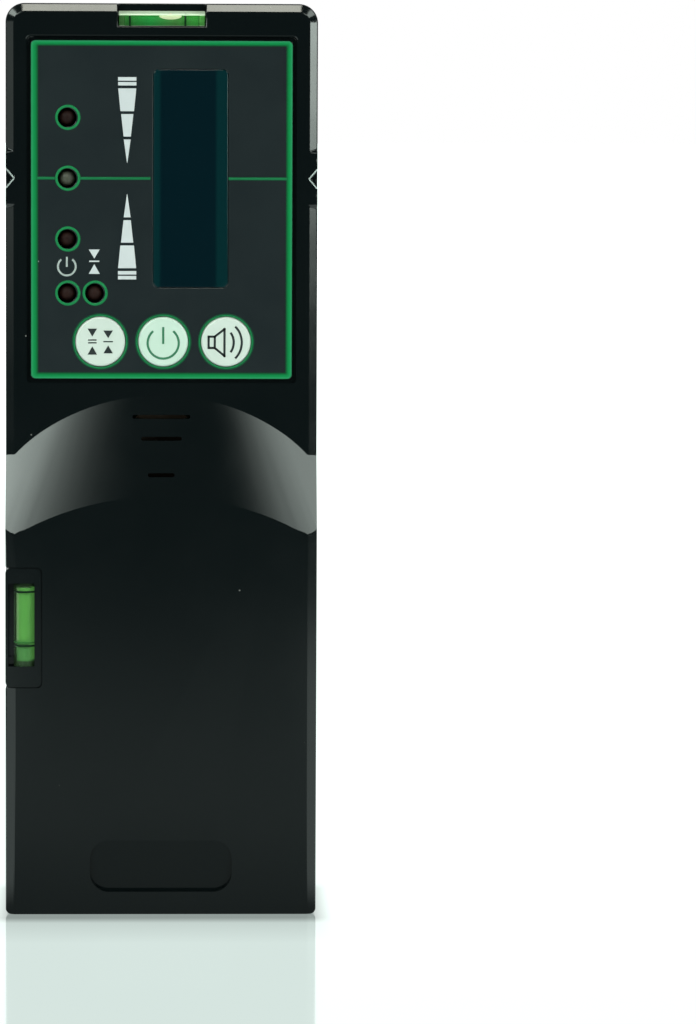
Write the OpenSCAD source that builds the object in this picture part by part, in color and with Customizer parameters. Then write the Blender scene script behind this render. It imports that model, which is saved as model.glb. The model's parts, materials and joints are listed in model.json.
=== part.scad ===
// Hand-held laser receiver: a two-part moulded housing with an arched step across its front,
// a control panel over the sensor window, two bubble vials and a block battery behind a rear flap.
// The front faces -Y, +Z is up, and the origin is the middle of the base.

/* [Housing] */
// Width of the housing
body_w = 56; // [54:0.5:66]
// Height of the housing
body_h = 164; // [160:1:190]
// Depth of the thick lower half
body_d = 26; // [26:0.5:34]
// How far the upper face lies behind the lower face
step_d = 5; // [3:0.5:6]
// Wall thickness
wall = 2.2; // [1.8:0.1:2.6]
// Radius of the top corners
corner_r = 3.4; // [3:0.1:5]
// Radius of the bottom corners
foot_r = 1; // [0.5:0.1:2]
// Width of the bevel along the front edges
bevel_w = 1.6; // [0.8:0.1:2]
// Depth of the bevel along the front edges
bevel_d = 0.7; // [0.4:0.1:1.2]
// Size of the bevel round the back edges
back_bevel = 1.2; // [0.6:0.1:2]
// Depth of the rear shell, from the back to the parting plane
rear_shell_d = 11; // [10:0.5:12]

/* [Arched step] */
// Height of the upper arch's crown, as a share of the housing's height
arch_top_share = 0.5713; // [0.54:0.0001:0.579]
// Radius of the upper arch
arch_top_r = 38.5; // [32:0.5:60]
// Height of the lower arch's crown, as a share of the housing's height
arch_foot_share = 0.4623; // [0.43:0.0001:0.49]
// Radius of the lower arch
arch_foot_r = 53; // [40:0.5:70]
// Length of the longest sound slot
slot_len = 10.4; // [8:0.1:12]
// Height of each sound slot
slot_h = 0.7; // [0.6:0.1:1.4]

/* [Grade marks] */
// Distance of the grade line below the top, as a share of the housing's height
grade_share = 0.1909; // [0.183:0.0001:0.2]
// Height of the flat pads at both ends of the grade line
pad_h = 10.6; // [8:0.1:14]
// Height of the triangular notch in each pad
notch_h = 3.3; // [2:0.1:5]
// How far each notch reaches inwards
notch_w = 1.4; // [0.8:0.1:2]
// Depth of each notch behind the face
notch_d = 1.2; // [0.6:0.1:2]

/* [Control panel] */
// Width of the panel
panel_w = 47; // [46:0.1:49]
// Height of the panel, as a share of the housing's height
panel_share = 0.3705; // [0.366:0.0001:0.378]
// Thickness of the panel
panel_t = 0.5; // [0.3:0.05:0.7]
// Corner radius of the panel
panel_r = 0.8; // [0.4:0.1:2]
// Distance of the panel's top edge below the top of the housing
panel_drop = 6.6; // [6:0.1:7]
// Depth of the recess that the panel lies in
recess_d = 0.8; // [0.7:0.05:1]
// Gap between the panel and the wall of its recess
recess_gap = 0.75; // [0.3:0.05:1]
// Wall left behind the recess
face_wall = 1.6; // [1.2:0.1:2]

/* [Sensor] */
// Width of the sensor window
window_w = 13.4; // [12:0.1:15]
// Height of the sensor window, as a share of the housing's height
window_share = 0.2384; // [0.22:0.0001:0.25]
// Corner radius of the sensor window
window_r = 1; // [0.5:0.1:2]
// Thickness of the sensor window
window_t = 1.3; // [1:0.1:1.6]
// Distance of the window's middle from the middle of the panel
window_x = 5.2; // [4.6:0.1:6]
// Width of the ledge behind the window
window_ledge = 0.9; // [0.6:0.1:1.4]
// Number of photodiodes behind the window
diode_count = 5; // [3:1:5]
// Side of one photodiode
diode_w = 5; // [4:0.1:6]

/* [Indicator lights] */
// Diameter of a light
led_d = 3; // [2.6:0.1:3.2]
// Diameter of the eye in the panel over each light
eye_d = 3.5; // [3.3:0.1:3.8]
// Distance of the light column from the middle of the panel
led_x = 17; // [16.4:0.1:17.6]
// Distance between the lights of the column, as a share of the housing's height
led_pitch_share = 0.0665; // [0.055:0.0001:0.073]
// Distance of the two lower lights below the grade line, as a share of the housing's height
led_row_share = 0.1257; // [0.115:0.0001:0.13]
// Distance between the two lower lights
led_row_pitch = 4.9; // [4.6:0.1:5.6]

/* [Buttons] */
// Diameter of a button
button_d = 9; // [7:0.1:9.2]
// Distance between the buttons
button_pitch = 11.3; // [11:0.1:12.5]
// Distance of the middle button to the right of the panel's middle
button_x = 0.3; // [0:0.1:0.5]
// Distance of the buttons below the grade line, as a share of the housing's height
button_drop_share = 0.1789; // [0.177:0.0001:0.186]
// How far a button travels
button_travel = 0.5; // [0.2:0.05:0.6]
// Side of a switch body
switch_w = 6; // [5:0.1:7]
// Height of a switch body
switch_h = 2; // [1.8:0.1:2.2]

/* [Vials] */
// Outer diameter of both vials
vial_d = 4.2; // [4:0.1:4.6]
// Bore of both vials
vial_bore_d = 3.3; // [3:0.1:3.5]
// Length of the top vial
top_vial_len = 15.5; // [13:0.1:18]
// Length of the side vial
side_vial_len = 15; // [12:0.1:16]
// Distance of the top vial below the top of the housing
top_vial_drop = 1.35; // [1:0.05:1.6]
// Distance of the lower edge of the top notch below the top of the housing
top_notch_drop = 4; // [3.4:0.1:4.4]
// How far the top vial's guard stands above the housing
guard_rise = 0; // [0:0.1:1]
// Height of the side vial's holder
side_holder_h = 21.6; // [20:0.1:26]
// Width of the side vial's holder
side_holder_w = 6.5; // [6.4:0.1:7]
// Height of the middle of the side vial's holder, as a share of the housing's height
side_holder_share = 0.3174; // [0.293:0.0001:0.323]
// How much higher the side vial's middle lies than its holder's
side_vial_rise = 0.5; // [0:0.1:1]

/* [Thumb recess] */
// Width of the thumb recess
thumb_w = 25.6; // [20:0.1:30]
// Height of the thumb recess
thumb_h = 9.4; // [8:0.1:12]
// Depth of the thumb recess at its lower edge
thumb_d = 1.3; // [0.6:0.1:1.4]
// Distance of its lower edge above the base
thumb_z = 4.1; // [3:0.1:8]
// Corner radius of the thumb recess
thumb_r = 3.4; // [2:0.1:3.9]

/* [Battery] */
// Width of the battery
battery_w = 26.5; // [25.5:0.1:26.5]
// Depth of the battery
battery_d = 17.5; // [16.5:0.1:17.5]
// Height of the battery's can
battery_h = 46.4; // [45:0.1:46.6]
// Distance between the battery's two terminals
terminal_pitch = 12.95; // [12.7:0.05:13]
// Height of the terminals
terminal_h = 2.1; // [1.8:0.1:2.4]
// Play round the battery
battery_gap = 0.4; // [0.3:0.05:0.6]

/* [Battery door] */
// Thickness of the door
door_t = 2; // [1.6:0.1:2.2]
// Ledge that the door closes on
door_ledge = 1.35; // [1:0.05:1.8]
// Gap round the door
door_gap = 0.3; // [0.2:0.05:0.4]
// Radius of the door's rounded hinge edge
hinge_r = 3; // [2.8:0.1:3.6]
// Radius of the door's hinge pins
hinge_pin_r = 1.2; // [0.8:0.1:1.4]
// Length of each hinge pin
hinge_pin_len = 1.8; // [1.2:0.1:2.4]
// Width of the latch tongue
tongue_w = 11; // [8:0.5:14]

/* [Clamp thread] */
// Core radius of the threaded insert
insert_bore_r = 2.6; // [2:0.05:3.2]
// Outer radius of the threaded insert
insert_r = 4.2; // [3.8:0.1:5]
// Length of the threaded insert
insert_len = 8; // [6:0.1:8.4]
// Height of the thread above the base
insert_z = 104; // [92:0.5:112]

/* [Hidden] */

$fn = 48;
arch_facets = 128;

// Overrun of cuts, and the gaps between pieces
overrun = 1;
seat_gap = 0.1;
slide_gap = 0.2;
press_gap = 0.02;
sliver = 0.01;

// Heights on the front keep their share of the housing's height
grade_down = grade_share * body_h;
panel_high = panel_share * body_h;
window_high = window_share * body_h;
led_step = led_pitch_share * body_h;
led_row_down = led_row_share * body_h;
button_down = button_drop_share * body_h;
crown_top_z = arch_top_share * body_h;
crown_foot_z = arch_foot_share * body_h;
side_mid_z = side_holder_share * body_h;

// Planes of the housing, from front to back
front_y = -body_d / 2;
back_y = body_d / 2;
face_y = front_y + step_d;
split_y = back_y - rear_shell_d;
recess_y = face_y + recess_d;
panel_y = recess_y - panel_t;
inner_y = recess_y + face_wall;
low_inner_y = front_y + wall;
back_inner_y = back_y - wall;
side_x = body_w / 2;

// Heights on the upper face
grade_z = body_h - grade_down;
panel_z = body_h - panel_drop - panel_high / 2;
button_z = grade_z - button_down;
pad_slope = 0.5;

// Sound slots, as shares of the arched step's height and of the longest slot
slot_z_shares = [0.214, 0.43, 0.79];
slot_len_shares = [1, 0.7, 0.46];

// Main board, on posts behind the face
board_t = 1.6;
board_w = 42;
board_gap = 4;
board_y = inner_y + board_gap;
board_back_y = board_y + board_t;
board_low_share = 0.4634;
board_z0 = board_low_share * body_h;
post_r = 2.4;
post_x = board_w / 2 - post_r;
post_low_share = 0.5915;
post_low_z = post_low_share * body_h;
board_screw_r = 1;
board_screw_len = 5.2;
board_screw_head_r = 2;
board_screw_head_t = 1.3;
post_hole_r = board_screw_r + press_gap;
board_hole_r = board_screw_r + slide_gap;
chip_w = 10;
chip_t = 1.4;
chip_x = -9;

// Sensor stack between the window and the board
shroud_wall = 1.5;
diode_t = 1.2;
diode_pitch = (window_high - 2 * window_ledge - diode_w) / diode_count;
window_cut_w = window_w + 2 * seat_gap;
window_cut_h = window_high + 2 * seat_gap;
ledge_w = window_w - 2 * window_ledge;
ledge_h = window_high - 2 * window_ledge;

// Lights
led_hole_d = led_d + 2 * slide_gap;
led_tip_y = recess_y - slide_gap;
led_rim = 0.4;
led_flange_r = led_d / 2 + led_rim;
led_flange_t = 1;
led_row_z = grade_z - led_row_down;

// Buttons, their switches and plungers
button_r = button_d / 2;
button_face_y = panel_y - slide_gap;
button_hole_r = button_r + slide_gap;
button_eye_r = button_r + seat_gap;
flange_rim = 0.8;
flange_r = button_r + flange_rim;
flange_t = 0.8;
flange_y = inner_y + seat_gap;
flange_back_y = flange_y + flange_t;
button_edge = 0.3;
plunger_r = 1.6;
plunger_hole_r = plunger_r + seat_gap;
plunger_sunk = 0.7;
switch_y = board_y - switch_h;
switch_floor_y = switch_y + plunger_sunk + button_travel + slide_gap;

// Buzzer behind the sound slots
buzzer_r = 6.5;
buzzer_h = 3.8;
buzzer_z = (crown_top_z + crown_foot_z) / 2;
buzzer_hole_r = 1.5;
buzzer_hole_d = 1;

// Screws that hold the two shells together
screw_r = 1.25;
screw_len = 11;
screw_head_r = 2.6;
screw_head_t = 2;
screw_hole_r = screw_r + slide_gap;
pilot_r = screw_r + press_gap;
counterbore_r = screw_head_r + slide_gap;
counterbore_d = 6;
boss_r = 3;
boss_wall = 1.2;
rear_boss_r = counterbore_r + boss_wall;
boss_sunk = 0.4;
boss_x = side_x - wall - boss_r + boss_sunk;
boss_low_z = wall + boss_r - boss_sunk;
boss_top_z = body_h - wall - boss_r + boss_sunk;
socket_r = 1.2;
socket_d = 1;
screw_seat_y = back_y - counterbore_d;

// Seal in a groove of both rims
seal_w = 0.9;
seal_h = 1.4;
groove_w = seal_w + seat_gap;
groove_d = seal_h / 2 + seat_gap / 2;
groove_inset = (wall - groove_w) / 2;

// Vials
vial_r = vial_d / 2;
vial_bore_r = vial_bore_d / 2;
vial_end = 0.6;
plug_len = 1.2;
fluid_r = vial_bore_r - press_gap;
cradle_r = vial_r + press_gap;
bubble_r = 0.9;
bubble_len = 2.8;
bubble_x = 1.6;
bubble_clip = 0.4;
bubble_z = vial_bore_r - bubble_clip;
side_bubble_h = 1.5;

// Top vial's holder and its pocket
top_axis_z = body_h - top_vial_drop - vial_r;
lip_wall = 0.7;
lip_t = recess_d + lip_wall;
holder_floor = 1;
holder_back = 1.4;
guard_window_l = 12;
guard_window_w = 2.2;
tub_t = 1.2;
holder_front_y = face_y + lip_t + seat_gap;
top_axis_y = holder_front_y + vial_r;
holder_back_y = top_axis_y + cradle_r + holder_back;
top_pocket_w = top_vial_len + 2 * seat_gap;
top_pocket_z = top_axis_z - cradle_r - holder_floor;
board_top_gap = 0.8;
board_z1 = top_pocket_z - tub_t - board_top_gap;
post_top_z = board_z1 - post_r;

// Side vial's holder and its pocket
side_inset = 0.3;
side_front_y = front_y + side_inset;
guard_t = 1.45;
side_rim = 0.5;
side_axis_x = -side_x + guard_t + cradle_r;
side_axis_y = side_front_y + seat_gap + vial_r;
side_axis_z = side_mid_z + side_vial_rise;
side_back_y = side_axis_y + cradle_r + holder_back;
side_right_x = -side_x + side_holder_w;
side_holder_r = 1;
side_pocket_h = side_holder_h + 2 * seat_gap;

// Battery door and its hinge edge
door_lift = 0.3;
hinge_y = back_y - hinge_r;
hinge_z = hinge_r + door_lift;
hinge_run = 0.08;
hinge_hole_r = hinge_pin_r + hinge_run;
hinge_cut_r = hinge_r + door_gap;
cheek_wall = 1;
cheek_t = hinge_pin_len + cheek_wall;
bay_w = battery_w + 2 * battery_gap;
door_w = bay_w + 2 * door_ledge;
opening_w = door_w + 2 * door_gap;
door_in_y = back_y - door_t;
tongue_slit = 1;
tongue_len = 12;
grip_count = 4;
grip_r = 0.5;
grip_pitch = 1.6;

// Battery and its bay
battery_back_y = door_in_y - battery_gap;
battery_y = battery_back_y - battery_d / 2;
battery_z = hinge_z + hinge_r + battery_gap;
battery_r = 2.2;
battery_top_z = battery_z + battery_h;
contact_z = battery_top_z + terminal_h + seat_gap;
contact_t = 2.8;
bay_top_z = contact_z + contact_t;
bay_floor_z = battery_z - battery_gap;
bay_front_y = battery_back_y - battery_d - battery_gap;
door_top_z = bay_top_z + door_ledge;
opening_top_z = door_top_z + door_gap;
bay_lap = 0.6;
bay_outer_w = opening_w + 2 * bay_lap;
bay_cap_z = opening_top_z + bay_lap;
stud_r = 2.85;
crown_r = 4.2;
crown_bore_r = 3;
snap_t = 0.7;
snap_h = 1.5;
lead_r = 0.6;
lead_y = board_back_y + lead_r + seat_gap;
lead_overlap = 5;

// Insert's boss
insert_inset = 0.2;
boss_end = 1;
insert_wall = 1.8;
insert_boss_r = insert_r + insert_wall;

// Reach of the ramp past the upper face, so that it also crosses the bevel
ramp_overlap = 0.4;
ramp_reach = bevel_d + ramp_overlap;
ramp_reach_share = ramp_reach / step_d;

// A flat outline in X and Z, given thickness from y0 to y1
module plate(y0, y1) {
    translate([0, y1, 0])
        rotate([90, 0, 0])
            linear_extrude(y1 - y0)
                children();
}

// An outline in Y and Z, drawn out along X
module bar(x0, x1) {
    translate([x0, 0, 0])
        rotate([90, 0, 90])
            linear_extrude(x1 - x0)
                children();
}

// A round rod along Y
module rod(x, z, y0, y1, r) {
    translate([x, y1, z])
        rotate([90, 0, 0])
            cylinder(h = y1 - y0, r = r);
}

// A round rod along X
module axle(x0, x1, y, z, r) {
    translate([x0, y, z])
        rotate([0, 90, 0])
            cylinder(h = x1 - x0, r = r);
}

// A box between two corners
module block(low, high) {
    translate(low)
        cube(high - low);
}

// A rectangle with round corners
module round_rect(w, h, r) {
    square([w - 2 * r, h], center = true);
    square([w, h - 2 * r], center = true);
    for (x = [-1, 1], y = [-1, 1])
        translate([x * (w / 2 - r), y * (h / 2 - r)])
            circle(r);
}

// The housing's front outline, drawn in by an inset
module outline(inset) {
    w = body_w - 2 * inset;
    top_r = max(corner_r - inset, sliver);
    low_r = max(foot_r - inset, sliver);
    low = inset;
    high = body_h - inset;
    translate([-w / 2, low + low_r])
        square([w, high - low - top_r - low_r]);
    translate([-w / 2 + top_r, high - top_r - sliver])
        square([w - 2 * top_r, top_r + sliver]);
    translate([-w / 2 + low_r, low])
        square([w - 2 * low_r, low_r + sliver]);
    for (side = [-1, 1]) {
        translate([side * (w / 2 - top_r), high - top_r])
            circle(top_r);
        translate([side * (w / 2 - low_r), low + low_r])
            circle(low_r);
    }
}

// Edge profile from y0 to y1, at a half width, with bevels at the front and back
function edge(half, y0, y1, front_w, front_d, rear) = concat(
    [[half - front_w, y0]],
    front_d > 0 ? [[half, y0 + front_d]] : [],
    rear > 0 ? [[half, y1 - rear]] : [],
    [[half - rear, y1]]
);

function mirrored(points) = [for (i = [len(points) - 1:-1:0]) [-points[i][0], points[i][1]]];

// The housing's outline as a solid, bevelled along both sides and the top
module bevelled_slab(y0, y1, front_w, front_d, rear) {
    sides = edge(side_x, y0, y1, front_w, front_d, rear);
    top = [for (p = edge(body_h, y0, y1, front_w, front_d, rear)) [p[1], p[0]]];
    turn = edge(corner_r, y0, y1, front_w, front_d, rear);
    intersection() {
        plate(y0 - overrun, y1 + overrun)
            outline(0);
        union() {
            linear_extrude(body_h - corner_r)
                polygon(concat(sides, mirrored(sides)));
            bar(-side_x + corner_r, side_x - corner_r)
                polygon(concat([[y0, 0]], top, [[y1, 0]]));
            for (side = [-1, 1])
                translate([side * (side_x - corner_r), 0, body_h - corner_r])
                    rotate([-90, 0, 0])
                        rotate_extrude()
                            polygon(concat([[0, y0]], turn, [[0, y1]]));
        }
    }
}

// A thin plate whose upper edge is an arch
module arch_plate(y, crown_z, r) {
    half = side_x + overrun;
    plate(y, y + sliver)
        intersection() {
            union() {
                translate([0, crown_z - r])
                    circle(r, $fn = arch_facets);
                translate([-half, -overrun])
                    square([2 * half, crown_z - r + overrun]);
            }
            translate([-half, -overrun])
                square([2 * half, crown_z + 2 * overrun]);
        }
}

// The thick lower half: a ramp runs between the lower arch in front and the upper arch behind
module ramp_mass(inset) {
    rise = (crown_top_z - crown_foot_z) * (1 + ramp_reach_share);
    shrink = (arch_foot_r - arch_top_r) * (1 + ramp_reach_share);
    hull() {
        arch_plate(front_y + inset, crown_foot_z - inset, arch_foot_r - inset);
        arch_plate(face_y + ramp_reach + inset, crown_foot_z + rise - inset, arch_foot_r - shrink - inset);
    }
}

module front_outer() {
    sides = edge(side_x, front_y, split_y, bevel_w, bevel_d, 0);
    bevelled_slab(face_y, split_y, bevel_w, bevel_d, 0);
    intersection() {
        ramp_mass(0);
        linear_extrude(body_h)
            polygon(concat(sides, mirrored(sides)));
        plate(front_y - overrun, split_y)
            outline(0);
    }
    grade_pads();
}

// Flat pads that fill the bevel beside the grade line
module grade_pads() {
    half = pad_h / 2;
    bar(-side_x, side_x)
        polygon([
            [face_y, grade_z - half + pad_slope], [face_y, grade_z + half - pad_slope],
            [face_y + bevel_d, grade_z + half], [inner_y - sliver, grade_z + half],
            [inner_y - sliver, grade_z - half], [face_y + bevel_d, grade_z - half]
        ]);
}

module front_cavity() {
    plate(inner_y, split_y + overrun)
        outline(wall);
    intersection() {
        ramp_mass(wall);
        plate(low_inner_y - overrun, inner_y + sliver)
            outline(wall);
    }
}

module grade_notches() {
    for (side = [-1, 1])
        plate(face_y - overrun, face_y + notch_d)
            polygon([
                [side * (side_x + overrun), grade_z - notch_h / 2],
                [side * side_x, grade_z - notch_h / 2],
                [side * (side_x - notch_w), grade_z],
                [side * side_x, grade_z + notch_h / 2],
                [side * (side_x + overrun), grade_z + notch_h / 2]
            ]);
}

module thumb_recess() {
    top_z = thumb_z + thumb_h;
    intersection() {
        plate(front_y - overrun, front_y + thumb_d + overrun)
            translate([0, thumb_z + thumb_h / 2])
                round_rect(thumb_w, thumb_h, thumb_r);
        bar(-thumb_w, thumb_w)
            polygon([
                [front_y - overrun, thumb_z - overrun], [front_y + thumb_d, thumb_z - overrun],
                [front_y + thumb_d, thumb_z], [front_y, top_z], [front_y - overrun, top_z]
            ]);
    }
}

module sound_slots() {
    for (i = [0:len(slot_z_shares) - 1]) {
        z = crown_top_z - slot_z_shares[i] * (crown_top_z - crown_foot_z);
        plate(front_y - overrun, inner_y + sliver)
            translate([0, z])
                round_rect(slot_len * slot_len_shares[i], slot_h, slot_h / 2 - sliver);
    }
}

// Places of the screws through both shells
module at_screws() {
    for (side = [-1, 1], z = [boss_low_z, boss_top_z])
        translate([side * boss_x, 0, z])
            children();
}

// Places of the board's posts
module at_posts() {
    for (side = [-1, 1], z = [post_low_z, post_top_z])
        translate([side * post_x, 0, z])
            children();
}

// Places of the five lights
function led_places() = [
    [-led_x, grade_z + led_step], [-led_x, grade_z], [-led_x, grade_z - led_step],
    [-led_x, led_row_z], [-led_x + led_row_pitch, led_row_z]
];

function button_places() = [for (i = [-1:1]) [button_x + i * button_pitch, button_z]];

module window_outline(w, h, r) {
    translate([window_x, grade_z])
        round_rect(w, h, r);
}

// Posts, bosses and pockets inside the front shell
module front_bosses() {
    face_mid_y = inner_y - face_wall / 2;
    at_posts()
        rod(0, 0, face_mid_y, board_y, post_r);
    for (side = [-1, 1]) {
        rod(side * boss_x, boss_top_z, face_mid_y, split_y, boss_r);
        rod(side * boss_x, boss_low_z, low_inner_y - wall / 2, split_y, boss_r);
    }
    block([-top_pocket_w / 2 - tub_t, face_mid_y, top_pocket_z - tub_t],
        [top_pocket_w / 2 + tub_t, holder_back_y + seat_gap + tub_t, body_h - wall / 2]);
    block([-side_x + wall / 2, low_inner_y - wall / 2, side_mid_z - side_pocket_h / 2 - tub_t],
        [side_right_x + seat_gap + tub_t, side_back_y + tub_t, side_mid_z + side_pocket_h / 2 + tub_t]);
}

module top_pocket() {
    half = top_pocket_w / 2;
    block([-half, face_y + lip_t, top_pocket_z],
        [half, holder_back_y + seat_gap, body_h + overrun]);
    block([-half, face_y - overrun, body_h - top_notch_drop],
        [half, face_y + lip_t + sliver, body_h + overrun]);
}

module side_pocket() {
    w = side_holder_w + seat_gap + overrun;
    plate(front_y - overrun, side_back_y)
        translate([-side_x - overrun + w / 2, side_mid_z])
            round_rect(w, side_pocket_h, side_holder_r);
}

module seal_ring(inset, w) {
    difference() {
        outline(inset);
        outline(inset + w);
    }
}

// Front shell of the housing
module front_housing() {
    color("#1b1d1f")
        difference() {
            union() {
                difference() {
                    front_outer();
                    front_cavity();
                }
                front_bosses();
            }
            plate(face_y - overrun, recess_y)
                translate([0, panel_z])
                    round_rect(panel_w + 2 * recess_gap, panel_high + 2 * recess_gap, panel_r + sliver);
            plate(recess_y - sliver, panel_y + window_t)
                window_outline(window_cut_w, window_cut_h, window_r + seat_gap);
            plate(recess_y, inner_y + overrun)
                window_outline(ledge_w, ledge_h, window_r);
            for (p = led_places())
                rod(p[0], p[1], recess_y - overrun, inner_y + overrun, led_hole_d / 2);
            for (p = button_places())
                rod(p[0], p[1], recess_y - overrun, inner_y + overrun, button_hole_r);
            at_posts()
                rod(0, 0, board_y - board_screw_len + board_t, board_y + overrun, post_hole_r);
            at_screws()
                rod(0, 0, screw_seat_y - screw_len - seat_gap, split_y + overrun, pilot_r);
            plate(split_y - groove_d, split_y + overrun)
                seal_ring(groove_inset, groove_w);
            sound_slots();
            grade_notches();
            thumb_recess();
            top_pocket();
            side_pocket();
        }
}

// Bay that holds the battery, open to the back
module battery_bay() {
    half = bay_outer_w / 2;
    block([-half, bay_front_y - wall, bay_floor_z - wall], [half, back_inner_y + sliver, bay_cap_z]);
}

module rear_bosses() {
    at_screws()
        rod(0, 0, split_y, back_inner_y + sliver, rear_boss_r);
    rod(0, insert_z, back_y - insert_inset - insert_len - boss_end, back_inner_y + sliver, insert_boss_r);
    for (side = [-1, 1])
        block([side > 0 ? opening_w / 2 : -opening_w / 2 - cheek_t, hinge_y - hinge_cut_r, wall - sliver],
            [side > 0 ? opening_w / 2 + cheek_t : -opening_w / 2, back_inner_y + sliver,
                hinge_z + hinge_cut_r]);
}

// Opening for the door, with its ledge and the round seat of its hinge edge
module door_opening() {
    half = opening_w / 2;
    block([-half, door_in_y - seat_gap, hinge_z], [half, back_y + overrun, opening_top_z]);
    axle(-half, half, hinge_y, hinge_z, hinge_cut_r);
    block([-half, hinge_y - hinge_cut_r, -overrun], [half, back_y + overrun, hinge_z]);
    axle(-half - hinge_pin_len, half + hinge_pin_len, hinge_y, hinge_z, hinge_hole_r);
}

// Rear shell of the housing
module rear_housing() {
    color("#1b1d1f")
        difference() {
            union() {
                difference() {
                    bevelled_slab(split_y, back_y, 0, 0, back_bevel);
                    plate(split_y - overrun, back_inner_y)
                        outline(wall);
                }
                intersection() {
                    rear_bosses();
                    plate(split_y, back_y)
                        outline(wall / 2);
                }
                battery_bay();
            }
            block([-bay_w / 2, bay_front_y, bay_floor_z], [bay_w / 2, back_y + overrun, bay_top_z]);
            door_opening();
            at_screws() {
                rod(0, 0, split_y - overrun, back_y, screw_hole_r);
                rod(0, 0, screw_seat_y, back_y + overrun, counterbore_r);
            }
            rod(0, insert_z, back_y - insert_inset - insert_len, back_y + overrun, insert_r + press_gap);
            plate(split_y - overrun, split_y + groove_d)
                seal_ring(groove_inset, groove_w);
            for (side = [-1, 1])
                translate([side * terminal_pitch / 2, lead_y, bay_top_z - overrun])
                    cylinder(h = bay_cap_z - bay_top_z + 2 * overrun, r = lead_r + seat_gap);
        }
}

// Soft seal between the two shells
module housing_seal() {
    color("#3a3d3f")
        plate(split_y - seal_h / 2, split_y + seal_h / 2)
            seal_ring(groove_inset + seat_gap / 2, seal_w);
}

// Screw along Y with a socket head at the back
module cap_screw(y, len, r, head_r, head_t) {
    difference() {
        union() {
            rod(0, 0, y - len, y + sliver, r);
            rod(0, 0, y, y + head_t, head_r);
        }
        rod(0, 0, y + head_t - socket_d, y + head_t + overrun, socket_r * head_r / screw_head_r);
    }
}

module housing_screws() {
    color("#8d9196")
        at_screws()
            cap_screw(screw_seat_y, screw_len, screw_r, screw_head_r, screw_head_t);
}

// Printed front panel with its window, eyes and button openings
module control_panel() {
    color("#2b3238")
        plate(panel_y, recess_y)
            difference() {
                translate([0, panel_z])
                    round_rect(panel_w, panel_high, panel_r);
                window_outline(window_cut_w, window_cut_h, window_r + seat_gap);
                for (p = led_places())
                    translate(p)
                        circle(d = eye_d);
                for (p = button_places())
                    translate(p)
                        circle(button_eye_r);
            }
}

// Tinted window over the photodiodes
module sensor_window() {
    color("#06232b")
        plate(panel_y, panel_y + window_t)
            window_outline(window_w, window_high, window_r);
}

// Dark frame that keeps stray light off the photodiodes
module sensor_shroud() {
    color("#141414")
        plate(inner_y, board_y)
            difference() {
                window_outline(ledge_w + 2 * shroud_wall, ledge_h + 2 * shroud_wall, window_r + shroud_wall);
                window_outline(ledge_w, ledge_h, window_r);
            }
}

module photodiodes() {
    color("#20252b")
        for (i = [0:diode_count - 1]) {
            z = grade_z + (i - (diode_count - 1) / 2) * diode_pitch;
            block([window_x - diode_w / 2, board_y - diode_t, z - diode_w / 2],
                [window_x + diode_w / 2, board_y, z + diode_w / 2]);
        }
}

// Circuit board with its fixing holes
module main_board() {
    color("#1e5b34")
        difference() {
            block([-board_w / 2, board_y, board_z0], [board_w / 2, board_back_y, board_z1]);
            at_posts()
                rod(0, 0, board_y - overrun, board_back_y + overrun, board_hole_r);
        }
}

module board_screws() {
    color("#8d9196")
        at_posts()
            cap_screw(board_back_y, board_screw_len, board_screw_r, board_screw_head_r, board_screw_head_t);
}

module controller_chip() {
    color("#151515")
        block([chip_x - chip_w / 2, board_back_y, grade_z - chip_w / 2],
            [chip_x + chip_w / 2, board_back_y + chip_t, grade_z + chip_w / 2]);
}

// Round-topped light on the board, its tip in the panel's eye
module led(place) {
    r = led_d / 2;
    rod(place[0], place[1], led_tip_y + r, board_y, r);
    rod(place[0], place[1], board_y - led_flange_t, board_y, led_flange_r);
    translate([place[0], led_tip_y + r, place[1]])
        sphere(r);
}

module led_upper() {
    color("#4a1d1c")
        led(led_places()[0]);
}

module led_level() {
    color("#75695f")
        led(led_places()[1]);
}

module led_lower() {
    color("#4a1d1c")
        led(led_places()[2]);
}

module led_power() {
    color("#4a1d1c")
        led(led_places()[3]);
}

module led_precision() {
    color("#4a1d1c")
        led(led_places()[4]);
}

// Button cap with a flange that stops behind the face
module button(place) {
    translate([place[0], 0, place[1]])
        rotate([-90, 0, 0])
            rotate_extrude()
                polygon([
                    [0, button_face_y], [button_r - button_edge, button_face_y],
                    [button_r, button_face_y + button_edge], [button_r, flange_y],
                    [flange_r, flange_y], [flange_r, flange_back_y], [0, flange_back_y]
                ]);
}

module button_precision() {
    color("#eef3f0")
        button(button_places()[0]);
}

module button_power() {
    color("#e3f3ea")
        button(button_places()[1]);
}

module button_sound() {
    color("#eef3f0")
        button(button_places()[2]);
}

// Switch body on the board, with the well of its plunger
module switch_body(place) {
    half = switch_w / 2;
    difference() {
        block([place[0] - half, switch_y, place[1] - half], [place[0] + half, board_y, place[1] + half]);
        rod(place[0], place[1], switch_y - overrun, switch_floor_y, plunger_hole_r);
    }
}

module switch_precision() {
    color("#26282b")
        switch_body(button_places()[0]);
}

module switch_power() {
    color("#26282b")
        switch_body(button_places()[1]);
}

module switch_sound() {
    color("#26282b")
        switch_body(button_places()[2]);
}

module plunger(place) {
    rod(place[0], place[1], flange_back_y, switch_y + plunger_sunk, plunger_r);
}

module plunger_precision() {
    color("#d8d2c4")
        plunger(button_places()[0]);
}

module plunger_power() {
    color("#d8d2c4")
        plunger(button_places()[1]);
}

module plunger_sound() {
    color("#d8d2c4")
        plunger(button_places()[2]);
}

// Round sounder on the board behind the slots
module buzzer() {
    color("#1a1a1a")
        difference() {
            rod(0, buzzer_z, board_y - buzzer_h, board_y, buzzer_r);
            rod(0, buzzer_z, board_y - buzzer_h - overrun, board_y - buzzer_h + buzzer_hole_d, buzzer_hole_r);
        }
}

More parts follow.
